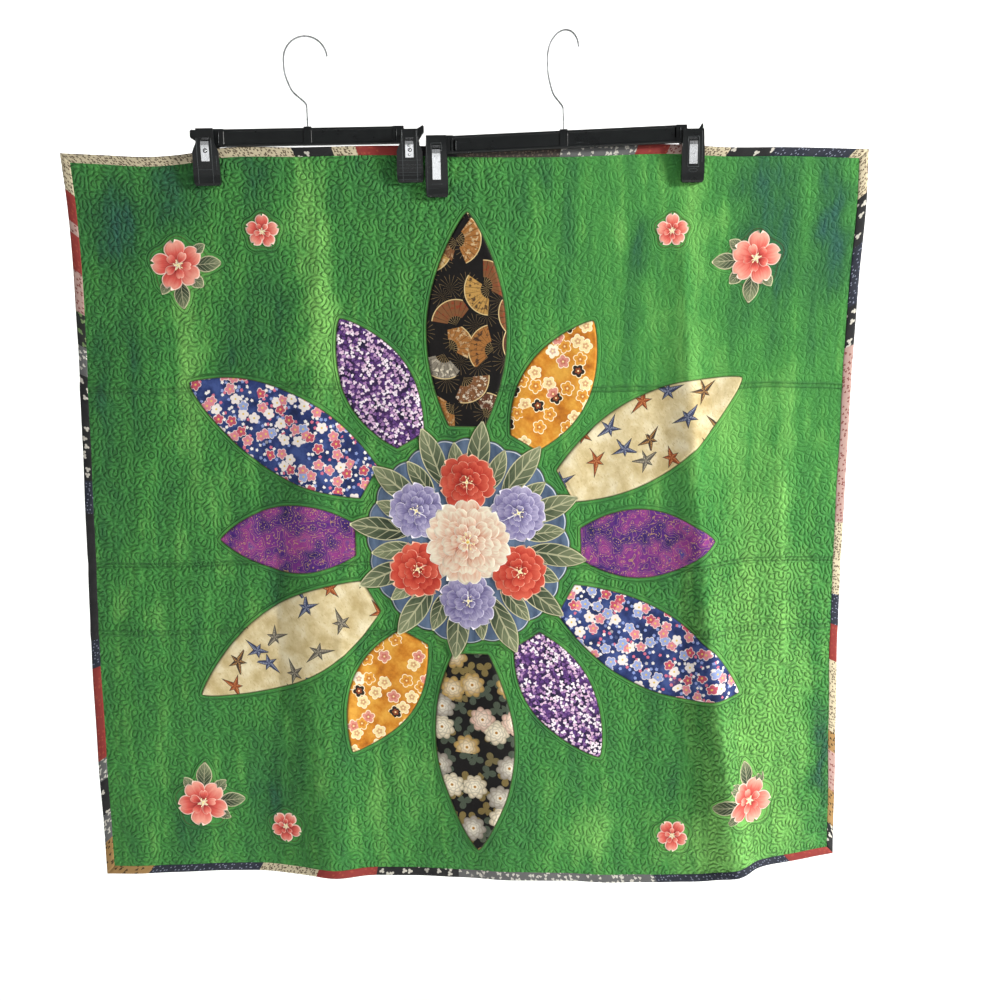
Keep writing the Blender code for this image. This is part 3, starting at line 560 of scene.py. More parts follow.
class Nodes:
    """A small helper that adds and joins a material's nodes. A colour may be six hex digits."""

    def __init__(self, name):
        self.material = bpy.data.materials.new(name)
        self.material.use_nodes = True
        self.tree = self.material.node_tree
        self.shader = self.tree.nodes["Principled BSDF"]

    def set(self, socket, value):
        if isinstance(value, Value):
            self.tree.links.new(value.socket, socket)
        elif isinstance(value, str):
            socket.default_value = (*rgb(value), 1.0)
        else:
            socket.default_value = value

    def add(self, kind, inputs, **settings):
        node = self.tree.nodes.new(f"ShaderNode{kind}")
        for key, value in settings.items():
            setattr(node, key, value)
        for key, value in inputs.items():
            self.set(node.inputs[key], value)
        return node

    def get(self, kind, inputs, output=0, **settings):
        return Value(self, self.add(kind, inputs, **settings).outputs[output])

    def math(self, operation, *values, clamp=False):
        return self.get("Math", dict(enumerate(values)), operation=operation, use_clamp=clamp)

    def vector(self, operation, *values, output="Vector"):
        return self.get("VectorMath", dict(enumerate(values)), output, operation=operation)

    def scaled(self, vector, x, y, z=1):
        return self.vector("MULTIPLY", vector, (x, y, z))

    def parts(self, vector):
        return [Value(self, part) for part in self.add("SeparateXYZ", {0: vector}).outputs]

    def sin(self, angle):
        return self.math("SINE", angle)

    def wave(self, angle):
        return abs(self.sin(angle))

    def step(self, value, start, end):
        """0 below start and 1 above end, or the other way round, eased between."""
        rising = start < end
        low, high = sorted((start, end))
        return self.get("MapRange", {0: value, 1: low, 2: high, 3: 1.0 - rising, 4: float(rising)},
                        interpolation_type="SMOOTHSTEP")

    def line(self, value, at, outer, inner):
        """1 where a value is within inner of a number, fading to 0 at outer."""
        return self.step(abs(value - at), outer, inner)

    def mix(self, share, first, second, blend="MIX"):
        return self.get("Mix", {0: share, 6: first, 7: second}, 2, data_type="RGBA",
                        blend_type=blend)

    def ramp(self, value, stops, steps=False):
        """A colour ramp. Its stops are written as place:colour."""
        node = self.add("ValToRGB", {0: value})
        node.color_ramp.interpolation = "CONSTANT" if steps else "LINEAR"
        stops = [stop.split(":") for stop in stops.split()]
        while len(node.color_ramp.elements) < len(stops):
            node.color_ramp.elements.new(0.5)
        for element, (at, colour) in zip(node.color_ramp.elements, stops):
            element.position = float(at)
            element.color = (*rgb(colour), 1.0)
        return Value(self, node.outputs[0])

    def mark(self, name):
        return self.get("Attribute", {}, "Fac", attribute_name=name)

    def flat(self):
        return self.get("UVMap", {}, uv_map="flat")

    def place(self):
        return self.get("TexCoord", {}, "Object")

    def noise(self, vector, scale, detail=2.0, roughness=0.5):
        return self.get("TexNoise", {"Vector": vector, "Scale": scale, "Detail": detail,
                                     "Roughness": roughness})

    def motif(self, flat, pitch, turned=0.0, evenness=0.85):
        """Scattered places: angle and distance from the nearest, and its two numbers."""
        cells = self.add("TexVoronoi", {"Vector": flat, "Scale": 1.0 / pitch,
                                        "Randomness": evenness}, voronoi_dimensions="2D").outputs
        local = self.vector("SUBTRACT", flat, Value(self, cells["Position"]))
        x, y, _ = self.parts(local)
        chance = self.add("SeparateColor", {0: Value(self, cells["Color"])}).outputs
        turn, own, other = (Value(self, number) for number in chance)
        angle = self.math("ARCTAN2", y, x) + (turn * (2 * math.pi) + turned)
        return angle, self.vector("LENGTH", local, output="Value"), own, other

    def flower(self, angle, distance, radius, petals=5, notch=0.35):
        """How far inside a petalled outline a point is, as a share of the radius."""
        wave = abs(self.math("COSINE", angle * (petals / 2)))
        return (wave * (radius * notch) + radius * (1 - notch) - distance) / radius

    def weave(self, flat):
        """The height of a plain weave's threads, from -1 to 1."""
        per_metre = WEAVE_PER_METRE * math.pi
        x, y, _ = self.parts(self.scaled(flat, per_metre, per_metre))
        return self.sin(x) * self.sin(y)

    def finish(self, colour, roughness, height=None, distance=0.001, strength=1.0, sheen=0.0,
               metallic=0.0, specular=0.5):
        inputs = self.shader.inputs
        self.set(inputs["Base Color"], colour)
        self.set(inputs["Roughness"], roughness)
        inputs["Metallic"].default_value = metallic
        inputs["Specular IOR Level"].default_value = specular
        inputs["Sheen Weight"].default_value = sheen
        if height is not None:
            self.set(inputs["Normal"], self.get("Bump", {"Height": height, "Distance": distance,
                                                         "Strength": strength}))
        return self.material


def paint_fans(n, flat):
    """Folding fans that crowd each other on black, with drawn gold fans between them."""
    flat = n.scaled(flat, 0.76, 0.76)
    turn, distance, own, other = n.motif(flat, 0.034)
    x, y = distance * n.sin(turn), distance * n.math("COSINE", turn) + 0.0115
    angle, reach = n.math("ARCTAN2", x, y), n.math("SQRT", x * x + y * y)
    spread = n.step(abs(angle), 1.06, 1.03)
    paper = spread * n.step(reach, 0.025, 0.0246) * n.step(reach, 0.0085, 0.009)
    cloth = n.ramp(own, "0:7a5030 .25:a06a35 .5:5b3524 .7:827a6c .87:b98f4c", steps=True)
    second = n.ramp(other, "0:8c3a22 .3:cdb58a .6:3b2a22 .8:e0d6bf", steps=True)
    picture = n.step(n.noise(flat, 230, 3, 0.65), 0.52, 0.58)
    band = n.step(reach, 0.015, 0.0155) * n.step(reach, 0.0225, 0.022)
    painted = n.mix(picture * (band * 0.5 + 0.4), cloth, second)
    pleat = n.wave(angle * 11)
    painted = n.mix(n.step(pleat, 0.35, 0.05) * 0.6, painted, "20150f")
    sticks = spread * n.step(pleat, 0.3, 0.1) * n.step(reach, 0.0092, 0.0088)
    rim = spread * n.line(reach, 0.0246, 0.0006, 0.0003)
    far_angle, far, _, _ = n.motif(flat, 0.026, 2.1)
    drawn = n.step(n.wave(far_angle * 8), 0.16, 0.06) * n.step(far, 0.013, 0.012)
    ground = n.mix(drawn * 0.6, "0f0c0c", "a98d5c")
    colour = n.mix(sticks, n.mix(paper, ground, painted), "b79a63")
    return n.mix(rim, colour, "dcc38c")


def paint_gold(n, flat):
    """Outlined blossoms on a mottled gold."""
    angle, distance, own, other = n.motif(flat, 0.021)
    shape = n.flower(angle, distance, 0.0092, 5, 0.3)
    cloth = n.ramp(n.noise(flat, 38, 4, 0.65), ".3:a25a16 .45:c97f22 .62:e0a440")
    petal = n.ramp(own, "0:eed9a2 .3:dc9a38 .55:2b211a .72:d98e80 .88:f6ecd2", steps=True)
    kept = n.step(other, 0.15, 0.17)
    body = n.step(shape, 0, 0.06) * kept
    inner = n.step(n.flower(angle, distance, 0.0046, 5, 0.35), 0, 0.1) * body
    colour = n.mix(inner * 0.55, n.mix(body, cloth, petal), "b5562a")
    colour = n.mix(n.line(shape, 0.03, 0.08, 0.04) * kept, colour, "fff2cf")
    return n.mix(n.step(distance, 0.0014, 0.001) * kept, colour, "f7e6a8")


def paint_cream(n, flat):
    """Angular stars with five uneven folded points in two tones, hatched in part."""
    angle, distance, own, other = n.motif(flat, 0.046, evenness=0.75)
    point = 2 * math.pi / 5
    turns = (angle + 2 * math.pi) / point
    off = (n.math("FRACT", turns) - 0.5) * point
    ahead, aside = distance * n.math("COSINE", off), distance * n.sin(off)
    reach = n.sin(n.math("FLOOR", turns) * 2.2 + other * 6) * 0.0062 + 0.016
    edge = (1 - ahead / reach) * 0.0042 - abs(aside)
    first = n.ramp(own, "0:4a3a30 .3:3c4462 .55:8e4526 .8:5f5a52", steps=True)
    second = n.ramp(own, "0:b0824a .3:8a90a4 .55:c07a4a .8:a39a86", steps=True)
    cloth = n.ramp(n.noise(flat, 35, 4, 0.6), ".35:c2ad7c .52:d9c89c .66:e8dcba")
    dashes = n.step(n.noise(n.scaled(flat, 1, 3), 190, 1), 0.62, 0.68)
    cloth = n.mix(dashes * 0.5, cloth, "b49a68")
    hatch = n.step(n.wave(ahead * 1500), 0.35, 0.65)
    faces = n.mix(n.step(aside, -0.0001, 0.0001) * hatch, first, second)
    colour = n.mix(n.step(edge, 0, 0.0003), cloth, faces)
    return n.mix(n.line(edge, 0.0002, 0.0005, 0.0002), colour, "2a2220")


def paint_purple(n, flat):
    """A batik with gold dots and swirled gold lines."""
    drift = n.noise(flat, 30, 5, 0.66)
    cloth = n.ramp(drift, ".32:231a52 .43:4b2575 .52:74307f .6:963c84 .7:3a4390")
    _, distance, own, _ = n.motif(flat, 0.0034, evenness=1)
    dots = n.step(distance, 0.0008, 0.0004) * n.step(own, 0.4, 0.45)
    swirl = n.sin(n.noise(flat, 30) * 75)
    lines = n.step(abs(swirl), 0.2, 0.08) * 0.65
    return n.mix(n.math("MAXIMUM", dots * n.step(swirl, -0.2, 0.3), lines), cloth, "c9a262")


def paint_navy(n, flat):
    """Clusters of blossoms in two sizes on a mottled dark blue."""
    cloth = n.ramp(n.noise(flat, 42, 4, 0.6), ".35:1d2950 .5:2b3a70 .66:42558f")
    angle, distance, own, other = n.motif(flat, 0.0062, 0.7, 1)
    bud = n.step(n.flower(angle, distance, 0.0026, 5, 0.3), 0, 0.2) * n.step(other, 0.5, 0.52)
    cloth = n.mix(bud, cloth, n.ramp(own, "0:f1ebe6 .45:8f9fd4 .7:d9748a", steps=True))
    angle, distance, own, other = n.motif(flat, 0.0165, evenness=0.95)
    shape = n.flower(angle, distance, 0.0076, 5, 0.3)
    petal = n.ramp(own, "0:dd8792 .35:efe6e2 .62:97a6d6 .8:c25468", steps=True)
    kept = n.step(other, 0.22, 0.24)
    body = n.step(shape, 0, 0.1) * kept
    line = n.line(shape, 0.06, 0.09, 0.04) * kept * 0.8
    colour = n.mix(line, n.mix(body, cloth, petal), "f6e9df")
    return n.mix(n.step(distance, 0.0016, 0.0012) * body, colour, "e6c766")


def paint_lilac(n, flat):
    """Crowded small petals, pale pink to purple, on dark blue."""
    angle, distance, own, _ = n.motif(flat, 0.005, evenness=1)
    tint = n.noise(flat, 40) * 0.9 + (own * 0.6 - 0.25)
    petal = n.ramp(tint, ".28:5d3a7c .42:a77bb0 .55:dcb9d4 .72:f4e8f0")
    cloth = n.ramp(n.noise(flat, 48, 3), ".38:1d1a34 .6:4a2c62")
    return n.mix(n.step(n.flower(angle, distance, 0.003, 3, 0.5), 0, 0.12), cloth, petal)


def paint_peony(n, flat):
    """Full blossoms of four rows of petals among leaves, on black."""
    angle, distance, own, _ = n.motif(flat, 0.021, 1.3)
    green = n.mix(n.step(own, 0.4, 0.5), "4a5446", "7d6c3f")
    green = n.mix(n.step(n.wave(angle * 9), 0.3, 0.1) * 0.5, green, "221f19")
    leaf = n.flower(angle, distance, 0.0115, 3, 0.7)
    colour = n.mix(n.step(leaf, 0, 0.08), "100e0e", green)
    angle, distance, own, other = n.motif(flat, 0.04)
    kept = n.step(other, 0.06, 0.08)
    outer = n.ramp(own, "0:ded2b6 .35:a39d92 .6:bb9a58 .82:d9b7a4", steps=True)
    for number, radius in enumerate((0.018, 0.014, 0.01, 0.006)):
        shape = n.flower(angle + number * 0.45, distance, radius, 8 - number, 0.2)
        tint = n.mix(0.2 * number, outer, "f7efdc")
        shade = n.mix(n.step(shape, 0, 0.3), n.mix(0.55, tint, "5a4a3a"), tint)
        colour = n.mix(n.step(shape, 0, 0.05) * kept, colour, shade)
    return n.mix(n.step(distance, 0.0022, 0.0016) * kept, colour, "a8762c")


def paint_slate(n, flat):
    """Streaked slate blue, with a thin pale line along its scalloped edge."""
    cloth = n.ramp(n.noise(n.scaled(flat, 1, 0.3), 90, 4), ".35:42536c .65:62758f")
    return n.mix(n.line(n.mark("inward"), 0.0018, 0.001, 0.0004) * 0.8, cloth, "cdd2d8")


def paint_speckle(cloth, motif, pitch, radius):
    """A paint of small motifs scattered on a plain cloth."""
    def paint(n, flat):
        angle, distance, own, _ = n.motif(flat, pitch, evenness=1)
        body = n.step(n.flower(angle, distance, radius, 3, 0.55), 0, 0.15)
        mottled = n.mix(n.noise(flat, 50, 3), cloth, n.mix(0.03, cloth, "ffffff"))
        return n.mix(body * n.step(own, 0.3, 0.34), mottled, motif)

    return paint


def cotton(name, paint, roughness=0.85):
    """A printed cotton, whose colour paint(n, flat) gives, with painted shade where its edge is
    turned in.
    """
    n = Nodes(name)
    flat = n.flat()
    # Painted shade: the colour darkens towards its edge, where the cloth is turned in.
    turned = n.step(n.mark("inward"), 0.0014, 0.0002)
    colour = n.mix(turned * 0.55, paint(n, flat), "1d1a18")
    height = n.noise(flat, 75, 3, 0.6) + n.weave(flat) * 0.05
    return n.finish(colour, roughness, height, 0.0014, 0.7, sheen=0.03, specular=0.25)


def ground_material(name, teal, dark, base, light):
    """Hand-dyed green cotton, quilted all over in the meander of stipple(), with painted shade in
    its grooves and along its storage creases.
    """
    n = Nodes(name)
    flat, near = n.flat(), n.mark("patch")
    waves = sum(n.sin(n.vector("DOT_PRODUCT", flat, (x, y, 0), output="Value") + phase)
                for x, y, phase in WAVES)
    share = waves / (WAVE_MEAN * STIPPLE_GROOVE)
    stitched = n.math("EXPONENT", share * share * -1)
    stitched = stitched * n.step(near, STIPPLE_FROM - STIPPLE_FADE, STIPPLE_FROM)
    echo = n.line(near, ECHO_LINE, ECHO_GROOVE, 0)
    stitched = n.math("MAXIMUM", stitched, echo) * n.mark("relief")
    height = stitched * -0.9 + n.noise(flat, 170, 4, 0.7) * 0.75 + n.weave(flat) * 0.04
    down = n.parts(flat)[1] + (n.noise(flat, 16, 3) - 0.5) * CREASE_WANDER
    # The storage creases: raised in the bump, and gathered into a mask of painted shade.
    crease_shade = 0.0
    for at, _, out in CREASES:
        off = abs(abs(down - at * QUILT_HEIGHT) - CREASE_PAIR)
        fold = n.math("SUBTRACT", 1, off / CREASE_WIDTH, clamp=True)
        height = height + fold * math.copysign(0.8, out)
        crease_shade = n.math("MAXIMUM", fold, crease_shade)
    streak = n.noise(n.scaled(flat, 1, 0.14), 38, 4, 0.6) * 1.5 - 0.75
    mottle = n.noise(n.scaled(flat, 1, 0.45), 34, 5, 0.7) * 0.9 - 0.45
    tone = (streak + mottle + n.mark("dye")) * 0.4 + 0.5
    colour = n.ramp(tone, f".1:{teal} .3:{dark} .52:{base} .8:{light}")
    colour = n.mix(1, colour, n.noise(flat, 700) * 0.24 + 0.88, "MULTIPLY")
    # Darker along the quilting's lines: partly the thread's own colour, partly painted shade in
    # the grooves.
    colour = n.mix(stitched * 0.12, colour, dark)
    # Painted shade along the storage creases.
    colour = n.mix(crease_shade * 0.22, colour, dark)
    colour = n.mix(n.line(near, OUTLINE_AT, OUTLINE_HALF, 0.0002) * 0.6, colour, "4a2c22")
    return n.finish(colour, 0.8, height, 0.004, sheen=0.03, specular=0.25)


def petal_material(name, colours, streak=0.5, drawn=0.0):
    """A printed petal or leaf: streaked, with a shaded heart, a pale edge and drawn veins."""
    heart, body, tip, line = colours.split()
    n = Nodes(name)
    across, along, _ = n.parts(n.flat())
    own, aside = n.mark("own"), abs(across)
    spread = n.get("CombineXYZ", {0: across * 9, 1: along * 1.6, 2: own * 40})
    veins = n.noise(spread, 1.3, 3, 0.6)
    tone = along + (veins - 0.5) * streak + (own - 0.5) * 0.3
    colour = n.ramp(tone, f".05:{heart} .45:{body} .95:{tip}")
    side = n.wave((along - aside * 1.3) * 18)
    vein = n.math("MAXIMUM", n.step(side, 0.3, 0.05), n.step(aside, 0.02, 0.006))
    colour = n.mix(vein * drawn, colour, line)
    colour = n.mix(n.step(n.mark("edge"), 0.0017, 0.0009) * 0.85, colour, line)
    return n.finish(colour, 0.85, veins * 0.3, 0.0004, 0.5, sheen=0.1, specular=0.25)


def plastic_material(name, dark, light):
    """Moulded plastic with a fine grain and pale scuffs."""
    n = Nodes(name)
    place = n.place()
    broad = n.noise(place, 60, 4, 0.6)
    scuffs = n.step(n.noise(n.scaled(place, 30, 200, 260), 1, 3, 0.7), 0.62, 0.72)
    colour = n.mix(scuffs * 0.22, n.mix(broad, dark, light), "4d5254")
    return n.finish(colour, broad * 0.2 + 0.2, n.noise(place, 900), 0.0001, 0.3, specular=0.35)


def pocket_shade_material(name):
    """Painted shade: a near-black matt that stands in for the shade inside a deep moulded pocket.
    """
    n = Nodes(name)
    return n.finish(n.mix(n.noise(n.place(), 300), "030303", "0a0a0b"), 0.9, specular=0)


def steel_material(name, colour, darker, roughness):
    n = Nodes(name)
    place = n.place()
    brushed = n.noise(n.scaled(place, 1500, 1500, 90), 1)
    tone = n.mix(n.step(n.noise(place, 240, 3, 0.6), 0.6, 0.75), colour, darker)
    return n.finish(tone, brushed * 0.18 + roughness, brushed, 0.00006, 0.4, metallic=1)


MATERIALS = {  # what each is called in the pieces below: how it is made, its name, ...
    "green": (ground_material, "green_ground", "2c5f55", "33723f", "4a9746", "88d068"),
    "backing": (ground_material, "green_backing", "2a6e5c", "2f7f45", "3f9650", "58a85c"),
    "fans": (cotton, "fan_print", paint_fans),
    "gold": (cotton, "gold_blossom_print", paint_gold, 0.78),
    "cream": (cotton, "cream_print", paint_cream),
    "purple": (cotton, "purple_batik", paint_purple, 0.78),
    "navy": (cotton, "navy_blossom_print", paint_navy),
    "lilac": (cotton, "lilac_print", paint_lilac),
    "peony": (cotton, "peony_print", paint_peony),
    "slate": (cotton, "slate_cotton", paint_slate),
    "red_petal": (petal_material, "red_petal", "741511 b53527 d2604a f0c0a6"),
    "cream_petal": (petal_material, "cream_petal", "b96652 dbb096 eadfc8 fbf6e8", 1.3),
    "lavender_petal": (petal_material, "lavender_petal", "3f3960 776f9b aca5c4 ece7f2", 1.1),
    "coral_petal": (petal_material, "coral_petal", "8e1f22 d5584e f0a592 f6dccb"),
    "leaf": (petal_material, "printed_leaf", "232b20 46523c 7b8362 cfcba4", 0.8, 0.6),
    "pollen": (petal_material, "printed_pollen", "b07a1e e6bf49 f7e59a fff6c8"),
    "plastic": (plastic_material, "black_plastic_finish", "0d0f10", "1b1e1f"),
    # Painted highlight: a paler copy of the black plastic, for the raised moulded lines.
    "rubbed": (plastic_material, "rubbed_plastic_finish", "34383a", "4c5153"),
    # Painted shade: the near-black matt for the bar's pockets and the rings round the dimples.
    "pocket": (pocket_shade_material, "moulded_pocket"),
    "wire": (steel_material, "hook_wire", "b9bbbd", "6f7275", 0.18),
    "strap": (steel_material, "spring_strap", "dfe1e3", "a9adb0", 0.16),
}
BINDING_CLOTHS = {  # name: cloth, motif, the motifs' pitch and radius
    "bind_cream": ("cbbfa0", "5f5040", 0.003, 0.0016),
    "bind_red": ("8a2a24", "a04a3a", 0.006, 0.0018),
    "bind_pink": ("b3938a", "7c4340", 0.0046, 0.0018),
    "bind_black": ("101013", "c9c5ba", 0.011, 0.004),
    "bind_plain": ("141416", "2b2a2c", 0.012, 0.004),
    "bind_navy": ("1a2030", "8a90a4", 0.0044, 0.0011),
    "bind_grey": ("5f6060", "c9c6bc", 0.006, 0.0026),
    "bind_tan": ("a07c48", "43331f", 0.006, 0.0022),
    "bind_green": ("181c17", "6f8858", 0.0085, 0.0034),
    "bind_umber": ("3a322c", "6b5f54", 0.004, 0.0016),
}


def make_materials():
    made = {key: make(*values) for key, (make, *values) in MATERIALS.items()}
    for name, cloth in BINDING_CLOTHS.items():
        made[name] = cotton(name, paint_speckle(*cloth))
    return made


# The quilt's top and backing


def pressed(points):
    """1 where the cloth is free, 0 where a clip's jaws press it, eased between."""
    free = np.ones(len(points))
    for node in frame["nodes"]:
        if node.endswith("_jaw_front"):
            low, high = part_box(node)
            aside = np.maximum(low[0] - points[:, 0], points[:, 0] - high[0])
            free = np.minimum(free, eased(np.maximum(aside, low[2] - points[:, 2]) / JAW_EASE))
    return free


def relief(flat):
    """How high the quilting stands: flatter at the upper right, higher at the lower right."""
    across, down = (flat / SIZE).T
    stretched = eased((across - 0.45) / 0.25) * eased((0.62 - down) / 0.3)
    return 1 - 0.7 * stretched + 0.35 * eased((across - 0.72) / 0.12) * eased((down - 0.45) / 0.2)


def quilted_heights(flat, points, near):
    """How far the quilting stands up from the cloth between its stitched lines."""
    puff = 1 - bell(stipple(flat * PUCKER_SHARE) / SOFT_GROOVE)
    free = eased((near - STIPPLE_FROM + STIPPLE_FADE) / STIPPLE_FADE)
    echo = 1 - np.maximum(bell((near - ECHO_LINE) / ECHO_GROOVE), bell(near / ECHO_GROOVE))
    height = np.where(near > 0, free * np.minimum(puff, echo) + (1 - free) * echo * 0.9, 0.0)
    border = np.minimum(flat, SIZE - flat).min(axis=1)
    height *= eased((border - BINDING_COVER) / BORDER_EASE)
    return PUFF_HEIGHT * height * pressed(points) * relief(flat)


def build_ground(surfaces):
    outlines = list(sewn_outlines())
    pieces = []
    for name, step, side, surface in (
        ("quilt_top", GROUND_STEP, 1.0, surfaces["green"]),
        ("quilt_backing", BACKING_STEP, -1.0, surfaces["backing"]),
    ):
        flat = np.stack(np.meshgrid(*(
            np.linspace(GROUND_INSET, size - GROUND_INSET, round(size / step) + 1)
            for size in SIZE), indexing="ij"), axis=-1)
        columns, rows = flat.shape[:2]
        flat = flat.reshape(-1, 2)
        near = np.min([signed_distance(flat, outline) for outline in outlines], axis=0)
        level = side * FACE
        out = level + side * quilted_heights(flat, draped(flat, level), near)
        marks = {"patch": near if side > 0 else np.abs(near), "relief": relief(flat),
                 "dye": dye(flat) * (1.0 if side > 0 else BACKING_DYE)}
        pieces.append(make_mesh(name, draped(flat, out), grid_faces(columns, rows, side < 0),
                                [surface], flat, marks))
    return pieces


# The binding, pieced from scraps

BINDING_SCRAPS = {  # side: the share along it at which each scrap ends, and its cloth
    "top": ".285 cream .335 black .365 cream .425 red .49 black .62 umber .715 grey .755 red "
           ".795 pink .83 cream .885 black .985 navy 1 cream",
    "bottom": ".055 tan .2 navy .28 cream .36 red .47 black .735 grey .927 navy 1 red",
    "left": ".045 cream .085 red .1 pink .15 red .205 pink .25 green .29 grey .365 black "
            ".435 black .48 navy .66 plain .7 navy .835 red .865 grey .915 black .955 grey 1 tan",
    "right": ".055 cream .12 black .2 navy .255 black .5 pink .605 cream .65 navy .705 red "
             ".815 cream .845 tan .905 pink .96 tan 1 black",
}
BINDING_SECTION = (  # share in from the outer edge, share of the half thickness
    (1, 0.78), (0.97, 0.9), (0.88, 1), (0.6, 1.06), (0.32, 1.04), (0.14, 0.92), (0.04, 0.6),
    (0, 0.2), (0, -0.2), (0.04, -0.6), (0.14, -0.92), (0.32, -1.04), (0.6, -1.06), (0.88, -1),
    (0.97, -0.9), (1, -0.78),
)
BINDING_STEP = 0.005
BINDING_COVER = 0.0122  # how far in it reaches, where it is sewn down
SEAM_STEP = 0.0012  # the share along at which a scrap's seam has risen again


def build_binding(surfaces):
    cloths = sorted(BINDING_CLOTHS)
    count = len(BINDING_SECTION)
    made = []
    for name, along, far in (("top", 0, False), ("bottom", 0, True), ("left", 1, False),
                             ("right", 1, True)):
        scraps = BINDING_SCRAPS[name].split()
        ends, scraps = [float(end) for end in scraps[::2]], scraps[1::2]
        length = SIZE[along]
        even = np.linspace(0, 1, round(length / BINDING_STEP) + 1)
        shares = sorted({*np.round(even, 5), *ends, *(end + SEAM_STEP for end in ends[:-1])})
        chance = random.Random(len(name) * 7)
        wander = [chance.uniform(-1, 1) for _ in range(12)]
        flats, outs, uv = [], [], []
        for share in shares:
            pinch = 1.0 - 0.1 * any(abs(share - end) < SEAM_STEP + 0.0001 for end in ends[:-1])
            uneven = np.interp(share, np.linspace(0, 1, 12), wander)
            width = BINDING_COVER * (1 + 0.06 * uneven)
            for across, rise in BINDING_SECTION:
                inset = across * width
                place = np.zeros(2)
                place[along] = inset + (length - 2 * inset) * share
                place[1 - along] = SIZE[1 - along] - inset if far else inset
                flats.append(place)
                outs.append(rise * pinch * BINDING_THICKNESS / 2)
                uv.append((share * length, math.copysign(width - inset, rise)))
        faces, cloth_of = [], []
        turn = 1 if (along == 0) != far else -1
        for ring, (start, end) in enumerate(zip(shares, shares[1:])):
            scrap = next(i for i, at in enumerate(ends) if (start + end) / 2 <= at)
            for i in range(count):
                a, b = ring * count + i, ring * count + (i + 1) % count
                faces.append((a, b, b + count, a + count)[::turn])
                cloth_of.append(cloths.index(f"bind_{scraps[scrap]}"))
        last = (len(shares) - 1) * count
        faces += [tuple(range(count))[::-turn], tuple(range(last, last + count))[::turn]]
        cloth_of += [cloth_of[0], cloth_of[-1]]
        uv = np.array(uv)
        piece = make_mesh(f"bound_edge_{name}", draped(flats, outs), faces,
                          [surfaces[c] for c in cloths], uv,
                          {"inward": BINDING_COVER - np.abs(uv[:, 1])}, cloth_of)
        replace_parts(piece, f"binding_{name}")
        made.append(piece)
    return made


# The large petals and the disc


def rounded(edge, width=TURN_WIDTH):
    """0 at an edge and 1 beyond a width from it, round between."""
    return 1 - (1 - np.clip(edge / width, 0, 1)) ** 2


def build_petals(surfaces):
    made = []
    for number, cloth in enumerate(PETAL_CLOTHS):
        columns, rows = PETAL_GRIDS[number % 2]
        share = np.linspace(0, 1, columns)
        share = np.clip(share + 0.1 * np.sin(2 * np.pi * share) / (2 * np.pi), 0, 1)
        share[0], share[-1] = 0.0, 0.998
        side = np.sin(np.linspace(-0.5, 0.5, rows) * np.pi)
        share, side = np.meshgrid(share, side, indexing="ij")
        flat, width = petal_place(number, share, side)
        length = PETAL_SIZES[number % 2][0] - PETAL_START
        edge = np.minimum((1 - np.abs(side)) * width, np.minimum(share, 1 - share) * length)
        ripple = np.sin(share * length / RIPPLE_LENGTH + side * 2.0 + number)
        ripple *= eased(edge / RIPPLE_EASE)
        heights = FACE + PATCH_LIFT + PATCH_PUFF * rounded(edge) + RIPPLE_HEIGHT * ripple
        points, faces = patch_solid(flat, heights, FACE - PETAL_SINK)
        local = np.stack([side * width + number * 0.31, share * length + number * 0.17], axis=-1)
        uv = np.tile(local.reshape(-1, 2), (2, 1))
        piece = make_mesh(f"sewn_petal_{number + 1:02d}", points, faces, [surfaces[cloth]], uv,
                          {"inward": np.tile(edge.ravel(), 2)})
        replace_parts(piece, f"petal_{number + 1:02d}")
        made.append(piece)
    return made


def build_disc(surfaces):
    turn, ring = np.meshgrid(np.linspace(0, 2 * math.pi, 289),
                             1 - (1 - np.linspace(0, 1, 22)) ** 1.6, indexing="ij")
    radius = disc_radius(turn)
    flat = around(MEDALLION, turn, radius * (0.05 + 0.95 * ring))
    edge = (1 - ring) * radius
    heights = FACE + PATCH_LIFT + PATCH_PUFF * rounded(edge)
    piece = make_mesh("sewn_disc", draped(flat, heights), grid_faces(*turn.shape, flip=True),
                      [surfaces["slate"]], flat.reshape(-1, 2), {"inward": edge.ravel()})
    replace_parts(piece, "disc")
    return piece


# The printed flowers

RING_RISE = 0.00022
LEAF_TURN, LEAF_SINK = 0.0022, 0.0004
WREATH_RING, WREATH_BLOSSOMS, OPEN_RADIUS, GREAT_RADIUS = 0.078, 6, 0.037, 0.056
GOLDEN_ANGLE = 2.399963
POLLEN_GRAINS = 14
OPEN_BLOSSOM = (  # petals in the ring, start, length and half width as shares of the radius
    (7, 0.28, 0.76, 0.42), (6, 0.18, 0.62, 0.34), (5, 0.08, 0.46, 0.25), (4, 0.03, 0.28, 0.15),
)
GREAT_BLOSSOM = (
    (10, 0.38, 0.66, 0.31), (9, 0.28, 0.58, 0.27), (7, 0.18, 0.48, 0.24),
    (6, 0.1, 0.36, 0.18), (5, 0.03, 0.26, 0.12),
)
SMALL_BLOSSOM = ((5, 0.1, 0.92, 0.42), (5, 0.06, 0.52, 0.2))
SPRIG_LEAVES = (  # turn from the angle towards the centre, length, half width
    (-0.7, 0.036, 0.0105), (0.7, 0.036, 0.0105), (0.0, 0.024, 0.0085),
    (-1.35, 0.022, 0.0075), (1.35, 0.022, 0.0075),
)


